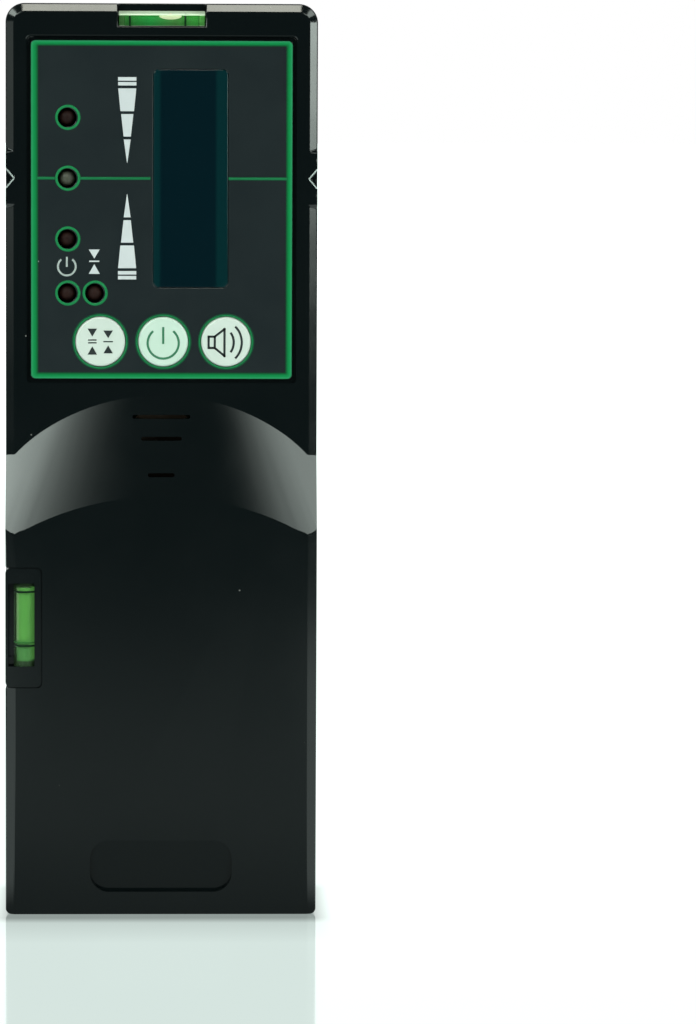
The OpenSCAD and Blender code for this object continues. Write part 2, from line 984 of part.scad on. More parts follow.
// Vial along Z from its closed end at 0, bored from the far end
module vial(len) {
    difference() {
        cylinder(h = len, r = vial_r);
        translate([0, 0, vial_end])
            cylinder(h = len, r = vial_bore_r);
    }
}

// Plug in the far end of a vial
module vial_plug(len) {
    translate([0, 0, len - plug_len])
        cylinder(h = plug_len, r = vial_bore_r - press_gap);
}

module vial_fluid(len) {
    translate([0, 0, vial_end])
        cylinder(h = len - vial_end - plug_len, r = fluid_r);
}

// The top vial's own direction, left to right
module along_top() {
    translate([-top_vial_len / 2, top_axis_y, top_axis_z])
        rotate([0, 90, 0])
            children();
}

// The side vial's own direction, top to bottom
module along_side() {
    translate([side_axis_x, side_axis_y, side_axis_z + side_vial_len / 2])
        rotate([180, 0, 0])
            children();
}

module top_vial() {
    color("#dfe9d8")
        along_top()
            vial(top_vial_len);
}

module top_vial_plug() {
    color("#9aa48a")
        along_top()
            vial_plug(top_vial_len);
}

// Liquid with a long bubble against the top of the bore
module top_vial_fluid() {
    color("#35c62f")
        difference() {
            along_top()
                vial_fluid(top_vial_len);
            axle(bubble_x - bubble_len / 2, bubble_x + bubble_len / 2, top_axis_y,
                top_axis_z + bubble_z, bubble_r);
            for (side = [-1, 1])
                translate([bubble_x + side * bubble_len / 2, top_axis_y, top_axis_z + bubble_z])
                    sphere(bubble_r);
        }
}

// Saddle of the top vial, open to the front, with a guard bar above
module top_vial_holder() {
    half = top_vial_len / 2;
    color("#141516")
        difference() {
            block([-half, holder_front_y, top_pocket_z], [half, holder_back_y, body_h + guard_rise]);
            axle(-half - overrun, half + overrun, top_axis_y, top_axis_z, cradle_r);
            block([-half - overrun, holder_front_y - overrun, top_axis_z - cradle_r],
                [half + overrun, top_axis_y, top_axis_z + cradle_r]);
            block([-guard_window_l / 2, top_axis_y - guard_window_w / 2, top_axis_z],
                [guard_window_l / 2, top_axis_y + guard_window_w / 2, body_h + guard_rise + overrun]);
        }
}

module side_vial() {
    color("#dfe9d8")
        along_side()
            vial(side_vial_len);
}

module side_vial_plug() {
    color("#9aa48a")
        along_side()
            vial_plug(side_vial_len);
}

// Liquid whose bubble has risen to the upper end of the bore
module side_vial_fluid() {
    color("#35c62f")
        difference() {
            along_side()
                vial_fluid(side_vial_len);
            translate([side_axis_x, side_axis_y, side_axis_z + side_vial_len / 2 - vial_end])
                intersection() {
                    sphere(vial_bore_r);
                    block([-vial_bore_r, -vial_bore_r, -side_bubble_h], [vial_bore_r, vial_bore_r, overrun]);
                }
        }
}

// Saddle of the side vial, open to the front, with a guard bar on the outside
module side_vial_holder() {
    bay = side_vial_len + 2 * press_gap;
    color("#141516")
        difference() {
            plate(side_front_y, side_back_y)
                translate([-side_x + side_holder_w / 2, side_mid_z])
                    round_rect(side_holder_w, side_holder_h, side_holder_r);
            translate([side_axis_x, side_axis_y, side_axis_z - bay / 2])
                cylinder(h = bay, r = cradle_r);
            block([-side_x + side_rim, side_front_y - overrun, side_axis_z - bay / 2],
                [side_axis_x + vial_bore_r, side_axis_y, side_axis_z + bay / 2]);
            block([-side_x - overrun, side_axis_y - guard_window_w / 2, side_axis_z - guard_window_l / 2],
                [side_axis_x, side_axis_y + guard_window_w / 2, side_axis_z + guard_window_l / 2]);
        }
}

// Block battery, without its terminals
module battery() {
    color("#4c5258")
        translate([0, battery_y, battery_z])
            linear_extrude(battery_h)
                round_rect(battery_w, battery_d, battery_r);
}

// Stud and crown terminals on top of the battery
module battery_terminals() {
    color("#b9bcc0")
        translate([0, battery_y, battery_top_z]) {
            translate([-terminal_pitch / 2, 0, 0])
                cylinder(h = terminal_h, r = stud_r);
            translate([terminal_pitch / 2, 0, 0])
                difference() {
                    cylinder(h = terminal_h, r = crown_r);
                    translate([0, 0, terminal_h - snap_h - seat_gap])
                        cylinder(h = terminal_h, r = crown_bore_r);
                }
        }
}

// Moulded block that carries the snap contacts
module contact_block() {
    color("#2a2c2f")
        block([-bay_w / 2 + seat_gap, bay_front_y + seat_gap, contact_z],
            [bay_w / 2 - seat_gap, battery_back_y, bay_top_z]);
}

// Snap contacts: a sleeve over the stud and a stud inside the crown
module snap_contacts() {
    color("#c9ccd0")
        translate([0, battery_y, contact_z - snap_h]) {
            translate([-terminal_pitch / 2, 0, 0])
                difference() {
                    cylinder(h = snap_h, r = stud_r + seat_gap + snap_t);
                    translate([0, 0, -overrun])
                        cylinder(h = snap_h + 2 * overrun, r = stud_r + seat_gap);
                }
            translate([terminal_pitch / 2, 0, 0])
                cylinder(h = snap_h, r = crown_bore_r - seat_gap);
        }
}

// Lead from the contact block up to the back of the board
module lead(side) {
    translate([side * terminal_pitch / 2, lead_y, bay_top_z])
        cylinder(h = board_z0 + lead_overlap - bay_top_z, r = lead_r);
}

module lead_positive() {
    color("#b3261e")
        lead(-1);
}

module lead_negative() {
    color("#17181a")
        lead(1);
}

// Rear flap with a rounded hinge edge, two hinge pins and a springy latch tongue
module battery_door() {
    half = door_w / 2;
    slit_x = tongue_w / 2;
    color("#1b1d1f")
        difference() {
            union() {
                block([-half, door_in_y, hinge_z], [half, back_y, door_top_z]);
                axle(-half, half, hinge_y, hinge_z, hinge_r);
                axle(-half - hinge_pin_len, half + hinge_pin_len, hinge_y, hinge_z, hinge_pin_r);
            }
            for (side = [-1, 1])
                block([side * slit_x - tongue_slit / 2, door_in_y - overrun, door_top_z - tongue_len],
                    [side * slit_x + tongue_slit / 2, back_y + overrun, door_top_z + overrun]);
            for (i = [1:grip_count])
                axle(-slit_x + tongue_slit, slit_x - tongue_slit, back_y,
                    door_top_z - i * grip_pitch, grip_r);
        }
}

// Brass insert for the clamp's screw
module mount_insert() {
    top_y = back_y - insert_inset;
    color("#c29a4a")
        difference() {
            rod(0, insert_z, top_y - insert_len, top_y, insert_r);
            rod(0, insert_z, top_y - insert_len - overrun, top_y + overrun, insert_bore_r);
        }
}

front_housing();
rear_housing();
housing_seal();
housing_screws();
control_panel();
sensor_window();
sensor_shroud();
photodiodes();
main_board();
board_screws();
controller_chip();
led_upper();
led_level();
led_lower();
led_power();
led_precision();
button_precision();
button_power();
button_sound();
switch_precision();
switch_power();
switch_sound();
plunger_precision();
plunger_power();
plunger_sound();
buzzer();
top_vial();
top_vial_plug();
top_vial_fluid();
top_vial_holder();
side_vial();
side_vial_plug();
side_vial_fluid();
side_vial_holder();
battery();
battery_terminals();
contact_block();
snap_contacts();
lead_positive();
lead_negative();
battery_door();
mount_insert();
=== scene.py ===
import json
import math

import bpy
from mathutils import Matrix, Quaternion, Vector


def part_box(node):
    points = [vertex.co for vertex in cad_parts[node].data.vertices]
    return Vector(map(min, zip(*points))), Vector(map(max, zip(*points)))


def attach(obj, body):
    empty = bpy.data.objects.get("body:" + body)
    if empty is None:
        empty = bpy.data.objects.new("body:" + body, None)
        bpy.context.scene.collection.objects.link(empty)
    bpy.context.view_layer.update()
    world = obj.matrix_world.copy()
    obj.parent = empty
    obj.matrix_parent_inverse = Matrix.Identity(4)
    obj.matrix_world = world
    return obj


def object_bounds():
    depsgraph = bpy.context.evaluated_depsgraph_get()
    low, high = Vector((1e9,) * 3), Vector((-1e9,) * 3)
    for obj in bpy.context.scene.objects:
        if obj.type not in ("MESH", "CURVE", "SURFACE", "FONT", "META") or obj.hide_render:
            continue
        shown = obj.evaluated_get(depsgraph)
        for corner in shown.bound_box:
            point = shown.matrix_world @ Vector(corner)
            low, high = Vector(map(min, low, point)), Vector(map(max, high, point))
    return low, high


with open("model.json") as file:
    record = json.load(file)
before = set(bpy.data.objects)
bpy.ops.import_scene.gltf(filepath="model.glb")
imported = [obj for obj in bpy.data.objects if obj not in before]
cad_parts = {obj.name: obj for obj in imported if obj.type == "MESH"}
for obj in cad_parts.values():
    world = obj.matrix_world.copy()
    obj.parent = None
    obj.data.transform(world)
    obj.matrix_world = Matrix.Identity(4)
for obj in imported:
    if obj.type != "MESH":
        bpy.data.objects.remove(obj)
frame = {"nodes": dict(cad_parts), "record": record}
cadLow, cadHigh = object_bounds()
nodes = frame["nodes"]
mm = 0.001
perMetre = 1000  # millimetres in a metre
print("frame loaded,", len(nodes), "nodes")


def newMaterial(name, colour, roughness, shine=0.5, **extra):
    material = bpy.data.materials.new(name)
    material.use_nodes = True
    tree = material.node_tree
    shader = tree.nodes["Principled BSDF"]
    shader.inputs["Base Color"].default_value = (*colour, 1)
    shader.inputs["Roughness"].default_value = roughness
    shader.inputs["Specular IOR Level"].default_value = shine
    for socket, value in extra.items():
        shader.inputs[socket].default_value = value
    return material, tree, shader


def feed(shader, socket, value):
    shader.id_data.links.new(value, shader.inputs[socket])


def objectCoords(tree):
    return tree.nodes.new("ShaderNodeTexCoord").outputs["Object"]


def splitAxes(tree, vector):
    node = tree.nodes.new("ShaderNodeSeparateXYZ")
    tree.links.new(vector, node.inputs[0])
    return node.outputs


def scaledTexture(tree, kind, coords, perMm):
    mapping = tree.nodes.new("ShaderNodeMapping")
    mapping.inputs["Scale"].default_value = [perMm * perMetre] * 3
    tree.links.new(coords, mapping.inputs["Vector"])
    texture = tree.nodes.new(kind)
    texture.inputs["Scale"].default_value = 1.0
    tree.links.new(mapping.outputs["Vector"], texture.inputs["Vector"])
    return texture


def noise(tree, coords, perMm, detail=2.0):
    texture = scaledTexture(tree, "ShaderNodeTexNoise", coords, perMm)
    texture.inputs["Detail"].default_value = detail
    return texture.outputs["Fac"]


def spread(tree, value, low, high, outLow, outHigh):
    node = tree.nodes.new("ShaderNodeMapRange")
    node.inputs["From Min"].default_value = low
    node.inputs["From Max"].default_value = high
    node.inputs["To Min"].default_value = outLow
    node.inputs["To Max"].default_value = outHigh
    tree.links.new(value, node.inputs["Value"])
    return node.outputs["Result"]


def mottle(tree, coords, perMm, outLow, outHigh, detail=3.0, reach=(0.3, 0.7)):
    # noise, with the middle of its range stretched between two values
    return spread(tree, noise(tree, coords, perMm, detail), *reach, outLow, outHigh)


def blendColours(tree, factor, first, second):
    node = tree.nodes.new("ShaderNodeMix")
    node.data_type = "RGBA"
    firstColour, secondColour = node.inputs[6], node.inputs[7]  # the mix node has a pair for each kind of value
    for socket, value in ((firstColour, first), (secondColour, second)):
        if isinstance(value, tuple):
            socket.default_value = (*value, 1)
        else:
            tree.links.new(value, socket)
    tree.links.new(factor, node.inputs[0])
    return node.outputs[2]


def wire(tree, kind, operation, values):
    node = tree.nodes.new(kind)
    node.operation = operation
    for socket, value in zip(node.inputs, values):
        if isinstance(value, bpy.types.NodeSocket):
            tree.links.new(value, socket)
        else:
            socket.default_value = value
    return node.outputs[0]


def scalarMath(tree, operation, *values):
    return wire(tree, "ShaderNodeMath", operation, values)


def vectorMath(tree, operation, *values):
    return wire(tree, "ShaderNodeVectorMath", operation, values)


def pickValue(tree, factor, first, second):
    node = tree.nodes.new("ShaderNodeMix")
    firstValue, secondValue = node.inputs[2], node.inputs[3]
    for socket, value in ((node.inputs[0], factor), (firstValue, first), (secondValue, second)):
        tree.links.new(value, socket)
    return node.outputs[0]


def addBump(tree, shader, height, distance):
    node = tree.nodes.new("ShaderNodeBump")
    node.inputs["Distance"].default_value = distance
    tree.links.new(height, node.inputs["Height"])
    feed(shader, "Normal", node.outputs["Normal"])


def specks(tree, coords, perMm, size, share, core=0.6, step=0.001):
    # a few cells of a grid hold one small round grain each
    cells = scaledTexture(tree, "ShaderNodeTexVoronoi", coords, perMm)
    grain = spread(tree, cells.outputs["Distance"], size * core, size, 1.0, 0.0)
    split = tree.nodes.new("ShaderNodeSeparateColor")
    tree.links.new(cells.outputs["Color"], split.inputs["Color"])
    chosen = spread(tree, split.outputs["Red"], share, share + step, 1.0, 0.0)
    return scalarMath(tree, "MULTIPLY", grain, chosen)


blackPlastic = dict(colour=(0.0024, 0.0041, 0.0046), worn=(0.0031, 0.0048, 0.0053), wearPerMm=0.05,
                    wearReach=(0.35, 0.7), roughness=(0.1, 0.14), rubPerMm=0.12, shine=0.3, grainPerMm=5.0,
                    grainHeight=0.0000012, dust=(0.12, 0.12, 0.115), dustPerMm=0.16, dustSize=0.028, dustShare=0.3)


def makeBlackPlastic(name, settings):
    material, tree, shader = newMaterial(name, settings["colour"], settings["roughness"][0], shine=settings["shine"])
    coords = objectCoords(tree)
    wear = mottle(tree, coords, settings["wearPerMm"], 0, 1, detail=4.0, reach=settings["wearReach"])
    dust = specks(tree, coords, settings["dustPerMm"], settings["dustSize"], settings["dustShare"])
    base = blendColours(tree, wear, settings["colour"], settings["worn"])
    feed(shader, "Base Color", blendColours(tree, dust, base, settings["dust"]))
    rubbed = mottle(tree, coords, settings["rubPerMm"], *settings["roughness"], detail=5.0)
    feed(shader, "Roughness", rubbed)
    addBump(tree, shader, noise(tree, coords, settings["grainPerMm"]), settings["grainHeight"])
    return material


housingFinish = makeBlackPlastic("housingPlastic", blackPlastic)
mattePartFinish = makeBlackPlastic("mattePart", dict(blackPlastic, roughness=(0.38, 0.5), dustShare=0.1))

panelFilm = dict(colour=(0.0112, 0.0155, 0.0176), lighter=(0.0132, 0.018, 0.02), cloudPerMm=0.08,
                 cloudReach=(0.35, 0.65), roughness=(0.12, 0.2), sheenPerMm=0.3, wavePerMm=0.4, waveHeight=0.000004,
                 dust=(0.4, 0.42, 0.42), dustPerMm=0.18, dustSize=0.03, dustShare=0.35)


def makePanelFilm(settings):
    material, tree, shader = newMaterial("panelFilm", settings["colour"], settings["roughness"][0])
    coords = objectCoords(tree)
    cloud = mottle(tree, coords, settings["cloudPerMm"], 0, 1, reach=settings["cloudReach"])
    dust = specks(tree, coords, settings["dustPerMm"], settings["dustSize"], settings["dustShare"])
    base = blendColours(tree, cloud, settings["colour"], settings["lighter"])
    feed(shader, "Base Color", blendColours(tree, dust, base, settings["dust"]))
    sheen = mottle(tree, coords, settings["sheenPerMm"], *settings["roughness"])
    feed(shader, "Roughness", sheen)
    addBump(tree, shader, noise(tree, coords, settings["wavePerMm"]), settings["waveHeight"])
    return material


panelFinish = makePanelFilm(panelFilm)

inkLook = dict(roughness=0.4, roughnessShare=0.15, shine=0.05, fadePerMm=0.35, grainPerMm=2.0)


def makeInk(name, colour, unevenness):
    roughness, share = inkLook["roughness"], inkLook["roughnessShare"]
    material, tree, shader = newMaterial(name, colour, roughness, shine=inkLook["shine"])
    coords = objectCoords(tree)
    shade = tuple(c * (1 - unevenness) for c in colour)
    fade = mottle(tree, coords, inkLook["fadePerMm"], 0, 1)
    feed(shader, "Base Color", blendColours(tree, fade, colour, shade))
    grain = mottle(tree, coords, inkLook["grainPerMm"], roughness * (1 - share), roughness * (1 + share), detail=2.0)
    feed(shader, "Roughness", grain)
    return material


# colour and unevenness of each ink
inks = dict(green=((0.012, 0.18, 0.06), 0.06), line=((0.01, 0.138, 0.05), 0.06), white=((0.517, 0.533, 0.553), 0.06),
            grey=((0.36, 0.4, 0.39), 0.1), dark=((0.027, 0.033, 0.034), 0.2), keyGreen=((0.05, 0.19, 0.105), 0.15),
            ring=((0.006, 0.022, 0.01), 0.2), topRing=((0.006, 0.03, 0.01), 0.2), faint=((0.03, 0.16, 0.035), 0.2),
            shade=((0.008, 0.07, 0.03), 0.15), border=((0.012, 0.18, 0.06), 0.06))
inkFinishes = {ink: makeInk(ink + "Ink", *look) for ink, look in inks.items()}

# the border's green from its outer edge to its inner edge
borderGreens = ((0.0, (0.012, 0.15, 0.06)), (0.14, (0.022, 0.22, 0.092)), (0.34, (0.006, 0.2, 0.056)),
                (0.6, (0.004, 0.165, 0.045)), (0.82, (0.005, 0.09, 0.028)), (1.0, (0.007, 0.04, 0.02)))


def colourRamp(tree, value, stops):
    node = tree.nodes.new("ShaderNodeValToRGB")
    ramp = node.color_ramp
    for i, (where, colour) in enumerate(stops):
        stop = ramp.elements[i] if i < 2 else ramp.elements.new(where)
        stop.position, stop.color = where, (*colour, 1)
    tree.links.new(value, node.inputs["Fac"])
    return node.outputs["Color"]


def gradeAcross(material, stops):
    tree = material.node_tree
    across = tree.nodes.new("ShaderNodeAttribute")
    across.attribute_name = "across"
    graded = colourRamp(tree, across.outputs["Fac"], stops)
    feed(tree.nodes["Principled BSDF"], "Base Color", graded)


gradeAcross(inkFinishes["border"], borderGreens)


cloudy = dict(sheenFiner=3, bumpFiner=6)


def makeCloudy(name, first, second, perMm, roughness, bump=0.0, **extra):
    # two colours in soft clouds, with finer patches in the roughness and finer bumps still
    material, tree, shader = newMaterial(name, first, sum(roughness) / 2, **extra)
    coords = objectCoords(tree)
    cloud = mottle(tree, coords, perMm, 0, 1)
    feed(shader, "Base Color", blendColours(tree, cloud, first, second))
    feed(shader, "Roughness", mottle(tree, coords, perMm * cloudy["sheenFiner"], *roughness))
    if bump:
        addBump(tree, shader, noise(tree, coords, perMm * cloudy["bumpFiner"]), bump)
    return material


whiteKeyFinish = makeCloudy("whiteKey", (0.533, 0.582, 0.542), (0.504, 0.562, 0.515), 0.3, (0.3, 0.4))
mintKeyFinish = makeCloudy("mintKey", (0.498, 0.607, 0.536), (0.464, 0.589, 0.502), 0.3, (0.3, 0.4))
sealFinish = makeCloudy("sealRubber", (0.03, 0.03, 0.03), (0.045, 0.045, 0.045), 0.6, (0.6, 0.75), bump=0.00001)
steelFinish = makeCloudy("steel", (0.55, 0.55, 0.56), (0.45, 0.45, 0.47), 0.8, (0.22, 0.36),
                         bump=0.000002, Metallic=1.0)
brassFinish = makeCloudy("brass", (0.62, 0.43, 0.16), (0.5, 0.34, 0.12), 0.7, (0.2, 0.34),
                         bump=0.000002, Metallic=1.0)
boardFinish = makeCloudy("boardLacquer", (0.015, 0.12, 0.04), (0.02, 0.15, 0.05), 0.4, (0.3, 0.4))
diodeFinish = makeCloudy("diodeLens", (0.012, 0.014, 0.02), (0.02, 0.02, 0.03), 0.5, (0.1, 0.2))
redLightFinish = makeCloudy("redLight", (0.022, 0.008, 0.006), (0.009, 0.004, 0.004), 0.5, (0.45, 0.6),
                            shine=0.09)
clearLightFinish = makeCloudy("clearLight", (0.062, 0.064, 0.047), (0.022, 0.024, 0.018), 0.5, (0.35, 0.45),
                              shine=0.25)
ivoryFinish = makeCloudy("ivory", (0.66, 0.62, 0.5), (0.6, 0.56, 0.45), 0.5, (0.4, 0.5))
# the buzzer glows though it is no lamp: painted light, strongest behind the uppermost slot
buzzerWithPaintedGlow = makeCloudy("buzzerCap", (0.02, 0.013, 0.008), (0.014, 0.01, 0.007), 0.5, (0.4, 0.5),
                          **{"Emission Color": (0.0055, 0.0042, 0.0024, 1)})
batteryFinish = makeCloudy("batteryWrap", (0.05, 0.055, 0.06), (0.08, 0.085, 0.09), 0.2, (0.25, 0.4))
redLeadFinish = makeCloudy("redLead", (0.4, 0.02, 0.015), (0.3, 0.015, 0.01), 0.6, (0.4, 0.5))
blackLeadFinish = makeCloudy("blackLead", (0.015, 0.015, 0.015), (0.025, 0.025, 0.025), 0.6, (0.4, 0.5))
# the vial plugs glow green: painted light
plugWithPaintedGlow = makeCloudy("vialPlug", (0.036, 0.14, 0.027), (0.03, 0.125, 0.024), 0.6, (0.3, 0.4),
                        shine=0.05, **{"Emission Color": (0.012, 0.045, 0.015, 1)})

# painted light: the lighter teal bands near both sides of the window stand in for its lit side walls seen through it,
# over the window's own dark tint
windowTintAndPaintedWalls = dict(deep=(0.0005, 0.0075, 0.0115), edge=(0.001, 0.017, 0.02), middle=5.2 * mm, edgeLeft=5.5 * mm,
                  edgeRight=4.6 * mm, blur=0.3 * mm, roughness=(0.06, 0.12), sheenPerMm=0.2)


def makeWindowTint(settings):
    material, tree, shader = newMaterial("windowTintAndPaintedWalls", settings["deep"], settings["roughness"][0])
    coords = objectCoords(tree)
    along, blur = splitAxes(tree, coords)["X"], settings["blur"]
    low, high = settings["middle"] - settings["edgeLeft"], settings["middle"] + settings["edgeRight"]
    # painted light on both sides of the window
    left = spread(tree, along, low - blur, low + blur, 1, 0)
    right = spread(tree, along, high - blur, high + blur, 0, 1)
    paintedWallLight = scalarMath(tree, "MAXIMUM", left, right)
    feed(shader, "Base Color", blendColours(tree, paintedWallLight, settings["deep"], settings["edge"]))
    sheen = mottle(tree, coords, settings["sheenPerMm"], *settings["roughness"])
    feed(shader, "Roughness", sheen)
    return material


windowWithPaintedWalls = makeWindowTint(windowTintAndPaintedWalls)

# painted light: the top vial's upper strip is a painted highlight that glows and its foot is painted lighter; its ends
# are covered in fixed greens, darker on the left; the side vial's liquid is painted lighter on the left, glows on the
# right and is painted darker towards its foot
clearVial = dict(colour=(0.3, 0.55, 0.25), faceAlpha=0.03, rimAlpha=0.12, rimBlend=0.35, roughness=0.06, shine=0.12,
                 dullPerMm=0.8, dullShare=1.6, lit=(0.55, 0.7, 0.5), litFrom=161.8 * mm, litTo=161.95 * mm,
                 litAlpha=0.0, glow=0.0)
litVial = dict(clearVial, colour=(0.03, 0.24, 0.04), faceAlpha=0.25, rimAlpha=0.4, roughness=0.3, shine=0.0,
               litAlpha=0.95, glow=0.55, footFrom=160.14 * mm, footTo=160.0 * mm, footShare=0.4,
               endFrom=6.55 * mm, endTo=6.8 * mm, leftEnd=(0.055, 0.17, 0.05), rightEnd=(0.09, 0.36, 0.075),
               endAlpha=0.92, sideBlur=1.0 * mm)
# painted light and shade: the top vial's liquid gets lighter and darker along its length, olive under the bubble
topLiquid = dict(colour=(0.05, 0.3, 0.06), roughness=(0.3, 0.4), sheenPerMm=0.36, shine=0.03, reach=7.75,
                 stops=((-7.1, (0.1, 0.31, 0.09)), (-4.6, (0.03, 0.27, 0.06)), (-2.0, (0.025, 0.41, 0.1)),
                        (2.4, (0.13, 0.25, 0.09)), (6.0, (0.09, 0.52, 0.09))))
# painted light on the side vial's liquid: lighter on the left, painted shade towards its foot and a painted glow on the
# right
sideLiquid = dict(first=(0.077, 0.265, 0.045), second=(0.062, 0.233, 0.038), perMm=0.25, roughness=(0.3, 0.4),
                  shine=0.1, lit=(0.165, 0.3, 0.112), litFrom=-25.4 * mm, litTo=-25.95 * mm,
                  low=(0.045, 0.17, 0.04), lowFrom=50.0 * mm, lowTo=49.0 * mm,
                  right=(0.04, 0.14, 0.027), rightFrom=-24.0 * mm, rightTo=-23.1 * mm)


def makeClear(name, settings):
    roughness = settings["roughness"]
    material, tree, shader = newMaterial(name, settings["colour"], roughness, shine=settings["shine"])
    coords = objectCoords(tree)
    axes = splitAxes(tree, coords)
    facing = tree.nodes.new("ShaderNodeLayerWeight")
    facing.inputs["Blend"].default_value = settings["rimBlend"]
    alpha = spread(tree, facing.outputs["Facing"], 0, 1, settings["faceAlpha"], settings["rimAlpha"])
    # painted highlight: a band along the top, and more faintly the foot, turn pale and glow
    lit = spread(tree, axes["Z"], settings["litFrom"], settings["litTo"], 0, 1)
    colour = settings["colour"]
    if "footFrom" in settings:
        foot = spread(tree, axes["Z"], settings["footFrom"], settings["footTo"], 0, settings["footShare"])
        lit = scalarMath(tree, "MAXIMUM", lit, foot)
        outwards = scalarMath(tree, "ABSOLUTE", axes["X"])
        end = spread(tree, outwards, settings["endFrom"], settings["endTo"], 0, 1)
        side = spread(tree, axes["X"], -settings["sideBlur"], settings["sideBlur"], 0, 1)
        colour = blendColours(tree, end, colour, blendColours(tree, side, settings["leftEnd"], settings["rightEnd"]))
        alpha = scalarMath(tree, "MAXIMUM", alpha, scalarMath(tree, "MULTIPLY", end, settings["endAlpha"]))
    alpha = scalarMath(tree, "MAXIMUM", alpha, scalarMath(tree, "MULTIPLY", lit, settings["litAlpha"]))
    feed(shader, "Base Color", blendColours(tree, lit, colour, settings["lit"]))
    shader.inputs["Emission Color"].default_value = (*settings["lit"], 1)
    feed(shader, "Emission Strength", scalarMath(tree, "MULTIPLY", lit, settings["glow"]))
    feed(shader, "Alpha", alpha)
    dull = mottle(tree, coords, settings["dullPerMm"], roughness, roughness * settings["dullShare"], detail=2.0)
    feed(shader, "Roughness", dull)
    return material


vialFinish = makeClear("vialAcrylic", clearVial)
litVialFinish = makeClear("litVialAcrylic", litVial)


def makeSideLiquid(settings):
    material = makeCloudy("vialLiquid", settings["first"], settings["second"], settings["perMm"],
                          settings["roughness"], shine=settings["shine"])
    tree = material.node_tree
    shader = tree.nodes["Principled BSDF"]
    axes = splitAxes(tree, objectCoords(tree))
    base = shader.inputs["Base Color"].links[0].from_socket
    # painted light: lighter on the left, darker towards the foot, glowing on the right
    left = spread(tree, axes["X"], settings["litFrom"], settings["litTo"], 0, 1)
    foot = spread(tree, axes["Z"], settings["lowFrom"], settings["lowTo"], 0, 1)
    lit = blendColours(tree, left, base, settings["lit"])
    feed(shader, "Base Color", blendColours(tree, foot, lit, settings["low"]))
    shader.inputs["Emission Color"].default_value = (*settings["right"], 1)
    right = spread(tree, axes["X"], settings["rightFrom"], settings["rightTo"], 0, 1)
    feed(shader, "Emission Strength", right)
    return material


def fadeAlongZ(material, colour, fadeFrom, fadeTo, glowFrom, glowTo):
    # the base colour turns into another one with height, and so does the strength of the glow
    tree = material.node_tree
    shader = tree.nodes["Principled BSDF"]
    height = splitAxes(tree, objectCoords(tree))["Z"]
    base = shader.inputs["Base Color"].links[0].from_socket
    faded = blendColours(tree, spread(tree, height, fadeFrom, fadeTo, 0, 1), base, colour)
    feed(shader, "Base Color", faded)
    glow = spread(tree, height, fadeFrom, fadeTo, glowFrom, glowTo)
    feed(shader, "Emission Strength", glow)


# painted light: the buzzer glows most behind the uppermost slot, so that only that slot shows its brown; the plugs
# glow, save the side plug's end, which gets painted shadow; the top vial's printed marks take the colour and glow of
# the painted highlight strip
buzzerPaintedGlow = dict(colour=(0.02, 0.013, 0.008), fadeFrom=87.5 * mm, fadeTo=88.5 * mm, glowFrom=0.18, glowTo=0.8)
plugPaintedGlowAndShadow = dict(colour=(0.006, 0.012, 0.008), fadeFrom=46.1 * mm, fadeTo=45.85 * mm, glowFrom=1, glowTo=0)
topRingPaintedHighlight = dict(colour=litVial["lit"], fadeFrom=litVial["litFrom"], fadeTo=litVial["litTo"], glowFrom=0, glowTo=0.44)
fadeAlongZ(buzzerWithPaintedGlow, **buzzerPaintedGlow)
fadeAlongZ(plugWithPaintedGlow, **plugPaintedGlowAndShadow)
topRingInkWithPaintedHighlight = inkFinishes["topRing"]
topRingInkWithPaintedHighlight.node_tree.nodes["Principled BSDF"].inputs["Emission Color"].default_value = (*litVial["lit"], 1)
fadeAlongZ(topRingInkWithPaintedHighlight, **topRingPaintedHighlight)


def makeTopLiquid(settings):
    roughness, reach = settings["roughness"], settings["reach"]
    material, tree, shader = newMaterial("topVialLiquid", settings["colour"], sum(roughness) / 2,
                                         shine=settings["shine"])
    coords = objectCoords(tree)
    along = spread(tree, splitAxes(tree, coords)["X"], -reach * mm, reach * mm, 0, 1)
    # painted light and shade along the liquid's length
    stops = [((x + reach) / (2 * reach), colour) for x, colour in settings["stops"]]
    feed(shader, "Base Color", colourRamp(tree, along, stops))
    feed(shader, "Roughness", mottle(tree, coords, settings["sheenPerMm"], *roughness))
    return material


sideFluidWithPaintedLight = makeSideLiquid(sideLiquid)
topFluidWithPaintedLight = makeTopLiquid(topLiquid)
bubbleFinish = makeCloudy("bubbleGleam", (0.6, 0.72, 0.42), (0.5, 0.64, 0.32), 0.3, (0.3, 0.4),
                          **{"Emission Color": (0.79, 0.66, 0.56, 1), "Emission Strength": 0.58})
sideBubbleFinish = makeCloudy("sideBubbleGleam", (0.3, 0.5, 0.25), (0.05, 0.22, 0.04), 1.6, (0.06, 0.12))
print("finishes made")

slotFinishes = dict(
    housing=housingFinish, seal=sealFinish, steel=steelFinish, panel=panelFinish, window=windowWithPaintedWalls,
    black_part=mattePartFinish, photodiode=diodeFinish, board=boardFinish, led_red=redLightFinish,
    led_clear=clearLightFinish, button_white=whiteKeyFinish, button_mint=mintKeyFinish, ivory=ivoryFinish,
    vial=vialFinish, vial_plug=plugWithPaintedGlow, vial_fluid=sideFluidWithPaintedLight, battery=batteryFinish,
    lead_red=redLeadFinish, lead_black=blackLeadFinish, brass=brassFinish)


def newTree(name, **inputs):
    tree = bpy.data.node_groups.new(name, "GeometryNodeTree")
    tree.interface.new_socket("Geometry", in_out="INPUT", socket_type="NodeSocketGeometry")
    for label, kind in inputs.items():
        tree.interface.new_socket(label, in_out="INPUT", socket_type="NodeSocket" + kind)
    tree.interface.new_socket("Geometry", in_out="OUTPUT", socket_type="NodeSocketGeometry")
    return tree, tree.nodes.new("NodeGroupInput").outputs, tree.nodes.new("NodeGroupOutput").inputs


